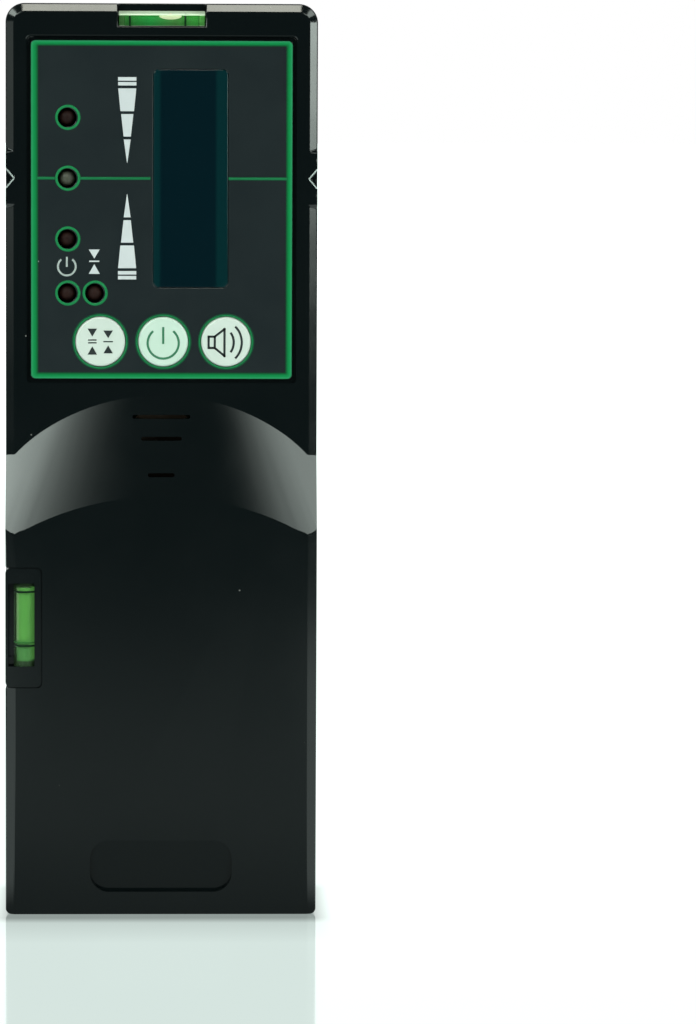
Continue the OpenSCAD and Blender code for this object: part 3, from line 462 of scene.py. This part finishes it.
def place(tree, kind, mode=None, **inputs):
    node = tree.nodes.new(kind)
    if mode:
        node.mode = mode
    for label, value in inputs.items():
        socket = node.inputs[label.replace("_", " ")]
        if isinstance(value, bpy.types.NodeSocket):
            tree.links.new(value, socket)
        else:
            socket.default_value = value
    return node


def giveTree(obj, tree, **values):
    modifier = obj.modifiers.new(tree.name, "NODES")
    modifier.node_group = tree
    for item in tree.interface.items_tree:
        if item.in_out == "INPUT" and item.name in values:
            modifier[item.identifier] = values[item.name]


# edges inside these boxes get no radius: the middle and half the size of each, in mm; the panel's box is for the
# front housing only
plainBoxes = dict(Thumb=((0, -13, 11), (15, 3, 9.5)), Ramp=((0, -10, 81.5), (30, 5, 12.3)),
                  Pocket=((-25, -12, 52.1), (3.8, 2, 11.3)), Panel=((0, -8, 126), (25, 2, 31)))
boxEnds = (" Middle", " Half")


def makeEdgeTree():
    # edges sharper than the limit are marked for the edge radius, save those inside the plain boxes
    boxInputs = {box + end: "Vector" for box in plainBoxes for end in boxEnds}
    tree, given, result = newTree("edgeFinish", Limit="Float", **boxInputs)
    soft = place(tree, "GeometryNodeSetShadeSmooth", Geometry=given["Geometry"], Shade_Smooth=True)
    soft.domain = "FACE"
    angle = place(tree, "GeometryNodeInputMeshEdgeAngle")
    sharp = tree.nodes.new("FunctionNodeCompare")
    sharp.operation = "GREATER_THAN"
    tree.links.new(angle.outputs["Unsigned Angle"], sharp.inputs[0])
    tree.links.new(given["Limit"], sharp.inputs[1])
    crisp = place(tree, "GeometryNodeSetShadeSmooth", Geometry=soft.outputs[0], Selection=sharp.outputs[0],
                  Shade_Smooth=False)
    crisp.domain = "EDGE"
    here = place(tree, "GeometryNodeInputPosition").outputs[0]
    weight = sharp.outputs[0]
    for box in plainBoxes:
        away = vectorMath(tree, "ABSOLUTE", vectorMath(tree, "SUBTRACT", here, given[box + " Middle"]))
        beyond = splitAxes(tree, vectorMath(tree, "SUBTRACT", away, given[box + " Half"]))
        most = scalarMath(tree, "MAXIMUM", scalarMath(tree, "MAXIMUM", beyond["X"], beyond["Y"]), beyond["Z"])
        weight = scalarMath(tree, "MULTIPLY", scalarMath(tree, "GREATER_THAN", most, 0.0), weight)
    marked = tree.nodes.new("GeometryNodeStoreNamedAttribute")
    marked.data_type, marked.domain = "FLOAT", "EDGE"
    marked.inputs["Name"].default_value = "bevel_weight_edge"
    tree.links.new(crisp.outputs[0], marked.inputs["Geometry"])
    tree.links.new(weight, marked.inputs["Value"])
    tree.links.new(marked.outputs[0], result["Geometry"])
    return tree


def makeStrokeTree():
    tree, given, result = newTree("inkStroke", Width="Float", Thickness="Float", Facing="Vector", Ink="Material")
    path = place(tree, "GeometryNodeMeshToCurve", Mesh=given["Geometry"])
    facing = place(tree, "GeometryNodeSetCurveNormal", "FREE", Curve=path.outputs[0], Normal=given["Facing"])
    section = place(tree, "GeometryNodeCurvePrimitiveQuadrilateral", Width=given["Thickness"],
                    Height=given["Width"])
    band = place(tree, "GeometryNodeCurveToMesh", Curve=facing.outputs[0], Profile_Curve=section.outputs[0],
                 Fill_Caps=True)
    real = place(tree, "GeometryNodeRealizeInstances", Geometry=band.outputs[0])
    inked = place(tree, "GeometryNodeSetMaterial", Geometry=real.outputs[0], Material=given["Ink"])
    tree.links.new(inked.outputs[0], result["Geometry"])
    return tree


ringSteps = 72


def makeRingTree():
    tree, given, result = newTree("ringAtPoints", Radius="Float", Width="Float", Thickness="Float", Turn="Rotation",
                                  Ink="Material")
    circle = place(tree, "GeometryNodeCurvePrimitiveCircle", Resolution=ringSteps, Radius=given["Radius"])
    facing = place(tree, "GeometryNodeSetCurveNormal", "FREE", Curve=circle.outputs[0], Normal=(0, 0, 1))
    section = place(tree, "GeometryNodeCurvePrimitiveQuadrilateral", Width=given["Thickness"],
                    Height=given["Width"])
    band = place(tree, "GeometryNodeCurveToMesh", Curve=facing.outputs[0], Profile_Curve=section.outputs[0])
    turned = place(tree, "GeometryNodeTransform", Geometry=band.outputs[0], Rotation=given["Turn"])
    rings = place(tree, "GeometryNodeInstanceOnPoints", Points=given["Geometry"], Instance=turned.outputs[0])
    real = place(tree, "GeometryNodeRealizeInstances", Geometry=rings.outputs[0])
    inked = place(tree, "GeometryNodeSetMaterial", Geometry=real.outputs[0], Material=given["Ink"])
    tree.links.new(inked.outputs[0], result["Geometry"])
    return tree


def makeBoxTree():
    tree, given, result = newTree("stayInBox", Low="Vector", High="Vector")
    here = place(tree, "GeometryNodeInputPosition").outputs[0]
    kept = vectorMath(tree, "MINIMUM", vectorMath(tree, "MAXIMUM", here, given["Low"]), given["High"])
    moved = place(tree, "GeometryNodeSetPosition", Geometry=given["Geometry"], Position=kept)
    tree.links.new(moved.outputs[0], result["Geometry"])
    return tree


edgeTree = makeEdgeTree()
boxTree = makeBoxTree()
strokeTree = makeStrokeTree()
ringTree = makeRingTree()
print("node trees made")


def addPiece(name, vertices, edges, faces, body, material=None):
    mesh = bpy.data.meshes.new(name)
    mesh.from_pydata(vertices, edges, faces)
    obj = bpy.data.objects.new(name, mesh)
    bpy.context.scene.collection.objects.link(obj)
    if material:
        mesh.materials.append(material)
    if body:
        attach(obj, body)
    return obj


def settle(obj, body):
    # the tree's result becomes the piece's own plain mesh
    bpy.context.view_layer.update()
    depsgraph = bpy.context.evaluated_depsgraph_get()
    mesh = bpy.data.meshes.new_from_object(obj.evaluated_get(depsgraph))
    obj.modifiers.clear()
    mesh.name = obj.name
    obj.data = mesh
    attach(obj, body)


inkLayer = dict(thickness=0.05 * mm, sunk=0.015 * mm)


def inkY(surface):
    return surface - inkLayer["thickness"] / 2 + inkLayer["sunk"]


def inkFaces(surface):
    return surface - inkLayer["thickness"] + inkLayer["sunk"], surface + inkLayer["sunk"]


def strokes(name, paths, surface, width, ink, body):
    # paths hold (x, z) points in mm, on a face that looks to -Y
    vertices, edges = [], []
    for path in paths:
        start = len(vertices)
        vertices += [(x * mm, inkY(surface), z * mm) for x, z in path]
        edges += [(i, i + 1) for i in range(start, len(vertices) - 1)]
        if path[0] == path[-1]:
            vertices.pop()
            edges[-1] = (len(vertices) - 1, start)
    obj = addPiece(name, vertices, edges, [], None)
    giveTree(obj, strokeTree, Width=width * mm, Thickness=inkLayer["thickness"], Facing=(0, 1, 0), Ink=inkFinishes[ink])
    settle(obj, body)


def rings(name, points, radius, width, thickness, turn, ink, body):
    obj = addPiece(name, points, [], [], None)
    giveTree(obj, ringTree, Radius=radius, Width=width, Thickness=thickness, Turn=turn, Ink=inkFinishes[ink])
    settle(obj, body)


def fills(name, shapes, surface, ink, body):
    # shapes hold the corners of flat convex shapes, (x, z) in mm
    front, back = inkFaces(surface)
    vertices, faces = [], []
    for shape in shapes:
        area = sum(a[0] * b[1] - b[0] * a[1] for a, b in zip(shape, shape[1:] + shape[:1]))
        corners = shape if area > 0 else shape[::-1]
        n, start = len(corners), len(vertices)
        vertices += [(x * mm, front, z * mm) for x, z in corners]
        vertices += [(x * mm, back, z * mm) for x, z in corners]
        faces.append([start + i for i in range(n)])
        faces.append([start + n + i for i in reversed(range(n))])
        for i in range(n):
            j = (i + 1) % n
            faces.append([start + i, start + n + i, start + n + j, start + j])
    addPiece(name, vertices, [], faces, body, inkFinishes[ink])


def arc(cx, cz, radius, fromDeg, toDeg, steps):
    angles = [math.radians(fromDeg + (toDeg - fromDeg) * i / steps) for i in range(steps + 1)]
    return [(cx + radius * math.sin(a), cz + radius * math.cos(a)) for a in angles]


def segment(a, b, width):
    # one straight stroke, drawn out by half its width so that corners close
    length = math.dist(a, b)
    ex, ez = (b[0] - a[0]) / length * width / 2, (b[1] - a[1]) / length * width / 2
    return [(a[0] - ex, a[1] - ez), (b[0] + ex, b[1] + ez)]


# the CAD nodes keep their shape and get a finish, soft shading and small edge radii (in mm)
edgeRadii = dict(front_housing=0.22, rear_housing=0.25, battery_door=0.2, control_panel=0.06, sensor_window=0.1,
                 button_precision=0.12, button_power=0.12, button_sound=0.12, top_vial_holder=0.12,
                 side_vial_holder=0.12, top_vial=0.15, side_vial=0.15, mount_insert=0.2, housing_screws=0.15,
                 battery=0.4)
nodeFinishes = dict(buzzer=buzzerWithPaintedGlow, top_vial=litVialFinish, top_vial_fluid=topFluidWithPaintedLight,
                    top_vial_holder=housingFinish, side_vial_holder=housingFinish)
shading = dict(limit=9, planar=0.4, weld=0.002, segments=2, evenness=80)
for part in frame["record"]["subparts"]:
    node = part["node"]
    obj = nodes[node]
    obj.data.materials.clear()
    obj.data.materials.append(nodeFinishes.get(node, slotFinishes[part["material_slot"]]))
    obj.modifiers.new("joinTriangles", "WELD").merge_threshold = shading["weld"] * mm
    flat = obj.modifiers.new("joinFlatFaces", "DECIMATE")
    flat.decimate_type = "DISSOLVE"
    flat.angle_limit = math.radians(shading["planar"])
    boxes = {box + end: [v * mm for v in values] for box in plainBoxes if box != "Panel" or node == "front_housing"
             for end, values in zip(boxEnds, plainBoxes[box])}
    giveTree(obj, edgeTree, Limit=math.radians(shading["limit"]), **boxes)
    if node in edgeRadii:
        bevel = obj.modifiers.new("edgeRadius", "BEVEL")
        bevel.width = edgeRadii[node] * mm
        bevel.segments = shading["segments"]
        bevel.limit_method = "WEIGHT"
        bevel.use_clamp_overlap = False
        nodeLow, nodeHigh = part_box(part["node"])
        giveTree(obj, boxTree, Low=nodeLow, High=nodeHigh)
        even = obj.modifiers.new("flatFaceNormals", "WEIGHTED_NORMAL")
        even.keep_sharp = True
        even.weight = shading["evenness"]
print("carried-over nodes dressed")


# printed panel, measured in mm
panelLow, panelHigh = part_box("control_panel")
panelY = panelLow.y
gradeZ = (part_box("led_level")[0].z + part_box("led_level")[1].z) / 2 / mm
panelLeft, panelRight = panelLow.x / mm, panelHigh.x / mm
panelFoot, panelTop = panelLow.z / mm, panelHigh.z / mm

border = dict(left=1.29, right=1.13, foot=1.1, top=0.96, radius=0.8, innerRadius=0.12, inset=0.05, steps=6)


def frameBand(name, box, settings, surface, ink, body):
    # a flat frame with rounded corners, built as one closed band
    loops = []
    widths = (settings["left"], -settings["right"], settings["foot"], -settings["top"])
    for step, turn in enumerate((settings["radius"], settings["innerRadius"])):
        left, right, foot, top = (edge + step * width for edge, width in zip(box, widths))
        corners = ((right - turn, top - turn, 0), (right - turn, foot + turn, 90),
                   (left + turn, foot + turn, 180), (left + turn, top - turn, 270))
        loops.append([p for x, z, start in corners for p in arc(x, z, turn, start, start + 90, settings["steps"])])
    front, back = inkFaces(surface)
    n = len(loops[0])
    vertices = [(x * mm, y, z * mm) for y in (front, back) for ring in loops for x, z in ring]
    faces = []
    for i in range(n):
        j = (i + 1) % n
        faces += [(i, n + i, n + j, j), (2 * n + i, 2 * n + j, 3 * n + j, 3 * n + i),
                  (i, j, 2 * n + j, 2 * n + i), (n + i, 3 * n + i, 3 * n + j, n + j)]
    obj = addPiece(name, vertices, [], faces, body, inkFinishes[ink])
    across = obj.data.attributes.new("across", "FLOAT", "POINT")
    across.data.foreach_set("value", ([0.0] * n + [1.0] * n) * 2)


inset = border["inset"]
frameBand("panelBorder", (panelLeft + inset, panelRight - inset, panelFoot + inset, panelTop - inset), border,
          panelY, "border", "receiver")

gradeLine = dict(width=0.5, stretches=((-22.4, -19.2), (-14.8, -2.05), (12.0, 22.5)), lift=0.012 * mm)
strokes("gradeLine", [[(x, gradeZ) for x in stretch] for stretch in gradeLine["stretches"]],
        panelY - gradeLine["lift"], gradeLine["width"], "line", "receiver")

eyeRing = dict(inner=1.81, outer=2.27, shift=0.15)
lights = [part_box("led_" + n) for n in ("upper", "level", "lower", "power", "precision")]
lightPlaces = [((a.x + b.x) / 2 + eyeRing["shift"] * mm, inkY(panelY), (a.z + b.z) / 2) for a, b in lights]
flatTurn = (math.radians(90), 0, 0)
rings("eyeRings", lightPlaces, (eyeRing["inner"] + eyeRing["outer"]) / 2 * mm,
      (eyeRing["outer"] - eyeRing["inner"]) * mm, inkLayer["thickness"], flatTurn, "green", "receiver")

keyRing = dict(inner=4.61, turn=4.84, outer=5.08)
keyBands = (("keyRings", "inner", "turn", "green"), ("keyRingShades", "turn", "outer", "shade"))
keys = [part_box("button_" + n) for n in ("precision", "power", "sound")]
keyPlaces = [((a.x + b.x) / 2, inkY(panelY), (a.z + b.z) / 2) for a, b in keys]
for name, inner, outer, ink in keyBands:
    rings(name, keyPlaces, (keyRing[inner] + keyRing[outer]) / 2 * mm, (keyRing[outer] - keyRing[inner]) * mm,
          inkLayer["thickness"], flatTurn, ink, "receiver")

# tapered arrows that point at the grade line; each step: far end, near end and half the width at each
arrow = dict(x=-6.2, steps=((18.14, 17.5, 1.64, 1.64), (17.26, 16.64, 1.64, 1.64), (16.12, 12.04, 1.62, 1.22),
                            (11.52, 7.5, 1.1, 0.65), (6.98, 2.84, 0.62, 0.04)))
arrowShapes = []
for side in (1, -1):
    for far, near, farHalf, nearHalf in arrow["steps"]:
        farZ, nearZ = gradeZ + side * far, gradeZ + side * near
        arrowShapes.append([(arrow["x"] - farHalf, farZ), (arrow["x"] + farHalf, farZ),
                            (arrow["x"] + nearHalf, nearZ), (arrow["x"] - nearHalf, nearZ)])
fills("arrowPrint", arrowShapes, panelY, "white", "receiver")

powerSign = dict(x=-17.03, drop=15.85, radius=1.6, width=0.35, gap=38, stem=(1.75, -0.05), steps=32)
signX, signZ, gap = powerSign["x"], gradeZ - powerSign["drop"], powerSign["gap"]
strokes("powerSign", [arc(signX, signZ, powerSign["radius"], gap, 360 - gap, powerSign["steps"]),
                      [(signX, signZ + z) for z in powerSign["stem"]]],
        panelY, powerSign["width"], "grey", "receiver")


def pointer(x, base, tip, half):
    return [(x - half, base), (x + half, base), (x, tip)]


def dash(x, z, half, thick):
    low, high = z - thick / 2, z + thick / 2
    return [(x - half, low), (x + half, low), (x + half, high), (x - half, high)]


precisionSign = dict(x=-12.1, half=0.98, down=(-12.78, -14.4), dash=-14.89, dashShare=0.92, up=(-17.15, -15.4),
                     thick=0.24)
signX, half = precisionSign["x"], precisionSign["half"]
fills("precisionSign", [
    pointer(signX, *[gradeZ + z for z in precisionSign["down"]], half),
    dash(signX, gradeZ + precisionSign["dash"], half * precisionSign["dashShare"], precisionSign["thick"]),
    pointer(signX, *[gradeZ + z for z in precisionSign["up"]], half),
], panelY, "white", "receiver")
print("panel printed")


# signs on the keys
keyY = keys[0][0].y
keyX = [p[0] / mm for p in keyPlaces]
keyZ = keyPlaces[0][2] / mm

pairSign = dict(coarse=-1.45, fine=1.4, half=0.86, thick=0.22, dashShare=0.9,
                coarseDown=(2.34, 0.9), coarseDashes=(0.28, -0.22), coarseUp=(-2.35, -0.86),
                fineDown=(2.0, 0.6), fineDash=-0.01, fineUp=(-2.11, -0.68))
coarseX, fineX = keyX[0] + pairSign["coarse"], keyX[0] + pairSign["fine"]
half, thick = pairSign["half"], pairSign["thick"]
fills("precisionKeySign", [
    pointer(coarseX, *[keyZ + z for z in pairSign["coarseDown"]], half),
    *[dash(coarseX, keyZ + z, half * pairSign["dashShare"], thick) for z in pairSign["coarseDashes"]],
    pointer(coarseX, *[keyZ + z for z in pairSign["coarseUp"]], half),
    pointer(fineX, *[keyZ + z for z in pairSign["fineDown"]], half),
    dash(fineX, keyZ + pairSign["fineDash"], half, thick),
    pointer(fineX, *[keyZ + z for z in pairSign["fineUp"]], half),
], keyY, "dark", "precision_key")

powerKeySign = dict(drop=0.24, radius=2.8, width=0.4, gap=40, stem=(2.65, -0.4), steps=40)
gap = powerKeySign["gap"]
strokes("powerKeySign", [arc(keyX[1], keyZ - powerKeySign["drop"], powerKeySign["radius"], gap, 360 - gap,
                             powerKeySign["steps"]),
                         [(keyX[1], keyZ + z) for z in powerKeySign["stem"]]],
        keyY, powerKeySign["width"], "keyGreen", "power_key")

soundKeySign = dict(width=0.4, box=(-3.12, -2.02, 0.94, -1.1), cone=(-0.27, 2.3, -2.54), drop=0.1,
                    arcs=((-1.6, 3.0, 36), (-1.2, 4.05, 45)), steps=24)
left, right, top, foot = soundKeySign["box"]
mouthX, mouthTop, mouthFoot = soundKeySign["cone"]
outline = [((left, top), (right, top)), ((left, top), (left, foot)), ((left, foot), (right, foot)),
           ((right, top), (right, foot)), ((right, top), (mouthX, mouthTop)), ((right, foot), (mouthX, mouthFoot)),
           ((mouthX, mouthTop), (mouthX, mouthFoot))]
soundPaths = []
for a, b in outline:
    start, end = ((keyX[2] + x, keyZ + z) for x, z in (a, b))
    soundPaths.append(segment(start, end, soundKeySign["width"]))
for x, radius, half in soundKeySign["arcs"]:
    soundPaths.append(arc(keyX[2] + x, keyZ - soundKeySign["drop"], radius, 90 - half, 90 + half,
                          soundKeySign["steps"]))
strokes("soundKeySign", soundPaths, keyY, soundKeySign["width"], "dark", "sound_key")
print("keys printed")


# white outline of the grade notches, on the housing's face
notch = dict(half=1.65, reach=1.4, width=0.24, tipShare=1.6, faceY=-8.0 * mm)
edge = cadHigh.x / mm
slope = math.hypot(notch["half"], notch["reach"])
shiftX, shiftZ = notch["half"] / slope * notch["width"] / 2, notch["reach"] / slope * notch["width"] / 2
notchPaths = []
for side in (1, -1):
    for up in (1, -1):
        mouth = (side * (edge - shiftX), gradeZ + up * (notch["half"] + shiftZ))
        tip = (side * (edge - notch["reach"] - notch["tipShare"] * shiftX), gradeZ)
        notchPaths.append([mouth, tip])
strokes("notchOutlines", notchPaths, notch["faceY"], notch["width"], "grey", "receiver")


# rings on the vials
vialRing = dict(width=0.34, thick=0.06, proud=0.02, top=(-5.75, 4.2), side=(58.5, 48.75), faint=49.35, faintWidth=0.2)
topLow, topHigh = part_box("top_vial")
sideLow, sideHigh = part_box("side_vial")
topAxis, sideAxis = (topLow + topHigh) / 2, (sideLow + sideHigh) / 2
vialRadius = (topHigh.z - topLow.z) / 2
ringRadius = vialRadius - vialRing["thick"] / 2 * mm + vialRing["proud"] * mm
ringThick, ringWidth = vialRing["thick"] * mm, vialRing["width"] * mm
roundX, roundZ = (0, math.radians(90), 0), (0, 0, 0)
rings("topVialMarks", [(x * mm, topAxis.y, topAxis.z) for x in vialRing["top"]], ringRadius, ringThick, ringWidth,
      roundX, "topRing", "receiver")
rings("sideVialMarks", [(sideAxis.x, sideAxis.y, z * mm) for z in vialRing["side"]], ringRadius, ringThick, ringWidth,
      roundZ, "ring", "receiver")
# painted refraction: a fainter ring just above the lower one stands in for that ring's far side seen through the vial
rings("sideVialRingSeenThrough", [(sideAxis.x, sideAxis.y, vialRing["faint"] * mm)], ringRadius, ringThick,
      vialRing["faintWidth"] * mm, roundZ, "faint", "receiver")

# gleam of the bubble against the top of the top vial's bore
gleam = dict(x=1.53, half=(2.15, 0.6, 0.76), turn=44, out=1.42, around=28, along=14)


def ellipsoid(name, centre, half, around, along, material, body):
    vertices = [(centre[0] - half[0], centre[1], centre[2])]
    for i in range(1, along):
        p = math.pi * i / along
        for j in range(around):
            q = 2 * math.pi * j / around
            vertices.append((centre[0] - half[0] * math.cos(p), centre[1] + half[1] * math.sin(p) * math.cos(q),
                             centre[2] + half[2] * math.sin(p) * math.sin(q)))
    vertices.append((centre[0] + half[0], centre[1], centre[2]))
    last = len(vertices) - 1
    faces = []
    for j in range(around):
        k = (j + 1) % around
        faces.append((0, 1 + k, 1 + j))
        for i in range(along - 2):
            here, further = 1 + i * around, 1 + (i + 1) * around
            faces.append((here + j, here + k, further + k, further + j))
        faces.append((last, 1 + (along - 2) * around + j, 1 + (along - 2) * around + k))
    obj = addPiece(name, vertices, [], faces, body, material)
    obj.data.polygons.foreach_set("use_smooth", [True] * len(faces))


tilt, out = math.radians(gleam["turn"]), gleam["out"] * mm
ellipsoid("topBubble", (gleam["x"] * mm, topAxis.y - out * math.cos(tilt), topAxis.z + out * math.sin(tilt)),
          [h * mm for h in gleam["half"]], gleam["around"], gleam["along"], bubbleFinish, "receiver")

# gleam of the bubble at the upper end of the side vial's bore
sideGleam = dict(half=(1.3, 1.3, 0.62), down=1.3, around=28, along=14)
ellipsoid("sideBubble", (sideAxis.x, sideAxis.y, sideHigh.z - sideGleam["down"] * mm),
          [h * mm for h in sideGleam["half"]], sideGleam["around"], sideGleam["along"], sideBubbleFinish, "receiver")
print("marks added")


# floor, light and camera
table = dict(size=6.0, roughness=0.07, shine=0.5, seen=0.78, colour=(0.86, 1, 0.95),
             contacts=((0.004, 0.0095, 0.38), (0.006, 0.031, 0.2)), contactSide=0.003,
             middle=0.54, side=1.9, sideFrom=0.036, sideTo=0.056, near=0.6, nearReach=0.12, nearSide=(0.004, 0.02),
             middleFade=(0.2, 0.62), sideFade=(0.4, 0.56), far=0.03)
floorCorners = [(x * table["size"], y * table["size"], 0) for x, y in ((-1, -1), (1, -1), (1, 1), (-1, 1))]
floor = addPiece("floor", floorCorners, [], [(0, 1, 2, 3)], None)


def makeTable(settings):
    # lit evenly for the eye, with a painted contact shadow round the base; its mirror image in the receiver fades away
    # from the base and is painted darker close to it
    material, tree, shader = newMaterial("whiteTable", (0, 0, 0), settings["roughness"])
    axes = splitAxes(tree, objectCoords(tree))
    x, y = (scalarMath(tree, "ABSOLUTE", axes[axis]) for axis in ("X", "Y"))
    beyondX = scalarMath(tree, "MAXIMUM", scalarMath(tree, "SUBTRACT", x, cadHigh.x), 0.0)
    beyondY = scalarMath(tree, "MAXIMUM", scalarMath(tree, "SUBTRACT", y, cadHigh.y), 0.0)
    reach = scalarMath(tree, "SQRT", scalarMath(tree, "ADD", scalarMath(tree, "MULTIPLY", beyondX, beyondX),
                                                scalarMath(tree, "MULTIPLY", beyondY, beyondY)))
    # painted contact shadow, only within the base's width
    dark = scalarMath(tree, "ADD", *(spread(tree, reach, *contact, 0) for contact in settings["contacts"]))
    dark = scalarMath(tree, "MULTIPLY", dark, spread(tree, beyondX, 0, settings["contactSide"], 1, 0))
    eye = scalarMath(tree, "MULTIPLY", scalarMath(tree, "SUBTRACT", 1.0, dark), settings["seen"])
    # painted shade in what the receiver mirrors, close to the base
    dim = scalarMath(tree, "MULTIPLY", spread(tree, reach, 0, settings["nearReach"], 1 - settings["near"], 0),
                     spread(tree, beyondX, *settings["nearSide"], 1, 0))
    lit = scalarMath(tree, "MULTIPLY", scalarMath(tree, "SUBTRACT", 1.0, dim), settings["middle"])
    middle = scalarMath(tree, "MULTIPLY", lit, spread(tree, reach, *settings["middleFade"], 1, 0))
    side = spread(tree, reach, *settings["sideFade"], settings["side"], 0)
    across = spread(tree, x, settings["sideFrom"], settings["sideTo"], 0, 1)
    mirrored = scalarMath(tree, "ADD", pickValue(tree, across, middle, side), settings["far"])
    direct = tree.nodes.new("ShaderNodeLightPath").outputs["Is Camera Ray"]
    shader.inputs["Emission Color"].default_value = (*settings["colour"], 1)
    feed(shader, "Emission Strength", pickValue(tree, direct, mirrored, eye))
    feed(shader, "Specular IOR Level", scalarMath(tree, "MULTIPLY", direct, settings["shine"]))
    return material


floor.data.materials.append(makeTable(table))

studio = dict(front=0.03, back=0.9, turnFrom=-0.1, turnTo=0.35, sky=(0.96, 1, 0.98, 1), backdrop=(1, 1, 1, 1))
world = bpy.data.worlds.new("studio")
bpy.context.scene.world = world
world.use_nodes = True
worldTree = world.node_tree
sky = worldTree.nodes["Background"]
sky.inputs["Color"].default_value = studio["sky"]
way = splitAxes(worldTree, worldTree.nodes.new("ShaderNodeTexCoord").outputs["Generated"])
skyGlow = spread(worldTree, way["Y"], studio["turnFrom"], studio["turnTo"], studio["front"], studio["back"])
worldTree.links.new(skyGlow, sky.inputs["Strength"])
backdrop = worldTree.nodes.new("ShaderNodeBackground")
backdrop.inputs["Color"].default_value = studio["backdrop"]
seen = worldTree.nodes.new("ShaderNodeLightPath")
pick = worldTree.nodes.new("ShaderNodeMixShader")
worldTree.links.new(seen.outputs["Is Camera Ray"], pick.inputs[0])
worldTree.links.new(sky.outputs[0], pick.inputs[1])
worldTree.links.new(backdrop.outputs[0], pick.inputs[2])
worldTree.links.new(pick.outputs[0], worldTree.nodes["World Output"].inputs["Surface"])


def makeCardGlow(name, colour):
    material = bpy.data.materials.new(name)
    material.use_nodes = True
    tree = material.node_tree
    tree.nodes.remove(tree.nodes["Principled BSDF"])
    glow = tree.nodes.new("ShaderNodeEmission")
    glow.inputs["Color"].default_value = (*colour, 1)
    strength = tree.nodes.new("ShaderNodeAttribute")
    strength.attribute_name = "glow"
    tree.links.new(strength.outputs["Fac"], glow.inputs["Strength"])
    tree.links.new(glow.outputs[0], tree.nodes["Material Output"].inputs["Surface"])
    return material


cardGlows = dict(cool=makeCardGlow("coolCard", (0.875, 1, 0.93)),
                 warm=makeCardGlow("warmCard", (0.98, 1, 0.88)))


def rise(value, low, high, power):
    return min(max((value - low) / (high - low), 0), 1) ** power


# azimuth 0 is the camera's side and + is the right; each step of the glow: amount, from, to, power
cardShape = dict(distance=1.7, height=0.09, columns=24, rows=12)
cards = dict(
    rampRightCard=dict(tint="cool", azimuths=(8, 66), elevations=(22.5, 35), along="right", base=0,
                       steps=((5.3, 12, 21.1, 1.27), (2.6, 21.1, 27.5, 1), (1.1, 27.5, 34, 1))),
    rampLeftCard=dict(tint="cool", azimuths=(-66, -3), elevations=(22.5, 35), along="left", base=0,
                      steps=((10.6, 5, 26.6, 1.95), (3.8, 26.6, 60, 1))),
    edgeRightCard=dict(tint="cool", azimuths=(41, 56), elevations=(-2.5, 5), along="up", base=0,
                       steps=((18.5, -1.45, 1.4, 1.2),)),
    edgeLeftCard=dict(tint="cool", azimuths=(-56, -41), elevations=(-2.5, 5), along="up", base=0.9,
                      steps=((0.6, -2, -0.3, 1),)),
    topCard=dict(tint="warm", azimuths=(-11, 11), elevations=(43.5, 52), along="up", base=18, steps=()))


def lightCard(name, settings):
    # a patch of a sphere round the receiver
    distance, columns, rows = cardShape["distance"], cardShape["columns"], cardShape["rows"]
    azimuths, elevations = settings["azimuths"], settings["elevations"]
    vertices, values = [], []
    for row in range(rows + 1):
        for column in range(columns + 1):
            azimuth = azimuths[0] + (azimuths[1] - azimuths[0]) * column / columns
            elevation = elevations[0] + (elevations[1] - elevations[0]) * row / rows
            a, e = math.radians(azimuth), math.radians(elevation)
            vertices.append((distance * math.sin(a) * math.cos(e), -distance * math.cos(a) * math.cos(e),
                             cardShape["height"] + distance * math.sin(e)))
            where = dict(right=azimuth, left=-azimuth, up=elevation)[settings["along"]]
            values.append(settings["base"] + sum(amount * rise(where, *step) for amount, *step in settings["steps"]))
    wide = columns + 1
    faces = [(r * wide + c, r * wide + c + 1, (r + 1) * wide + c + 1, (r + 1) * wide + c)
             for r in range(rows) for c in range(columns)]
    card = addPiece(name, vertices, [], faces, None, cardGlows[settings["tint"]])
    card.data.attributes.new("glow", "FLOAT", "POINT").data.foreach_set("value", values)
    card.visible_camera = False


for cardName, cardSettings in cards.items():
    lightCard(cardName, cardSettings)

# the picture's size and scale, and where the receiver's middle and foot lie in it
photo = dict(width=696, height=1024, pixelsPerMm=5.55, middleX=161.4, footY=916.6, faceY=-0.011, roll=0.25,
             distance=1.0, eyeHeight=0.162, sensor=36, clip=(0.01, 20))
cameraData = bpy.data.cameras.new("camera")
camera = bpy.data.objects.new("camera", cameraData)
bpy.context.scene.collection.objects.link(camera)
bpy.context.scene.camera = camera
aim = Vector(((photo["width"] / 2 - photo["middleX"]) / photo["pixelsPerMm"] * mm, photo["faceY"],
              (photo["footY"] - photo["height"] / 2) / photo["pixelsPerMm"] * mm))
camera.location = (0, -photo["distance"], photo["eyeHeight"])
turned = (aim - camera.location).to_track_quat("-Z", "Y") @ Quaternion((0, 0, 1), math.radians(photo["roll"]))
camera.rotation_euler = turned.to_euler()
cameraData.sensor_width = photo["sensor"]
cameraData.lens = photo["pixelsPerMm"] / mm * (aim - camera.location).length * photo["sensor"] / photo["height"]
cameraData.clip_start, cameraData.clip_end = photo["clip"]
bpy.context.scene.view_settings.view_transform = "Standard"
print("stage, lights and camera set")
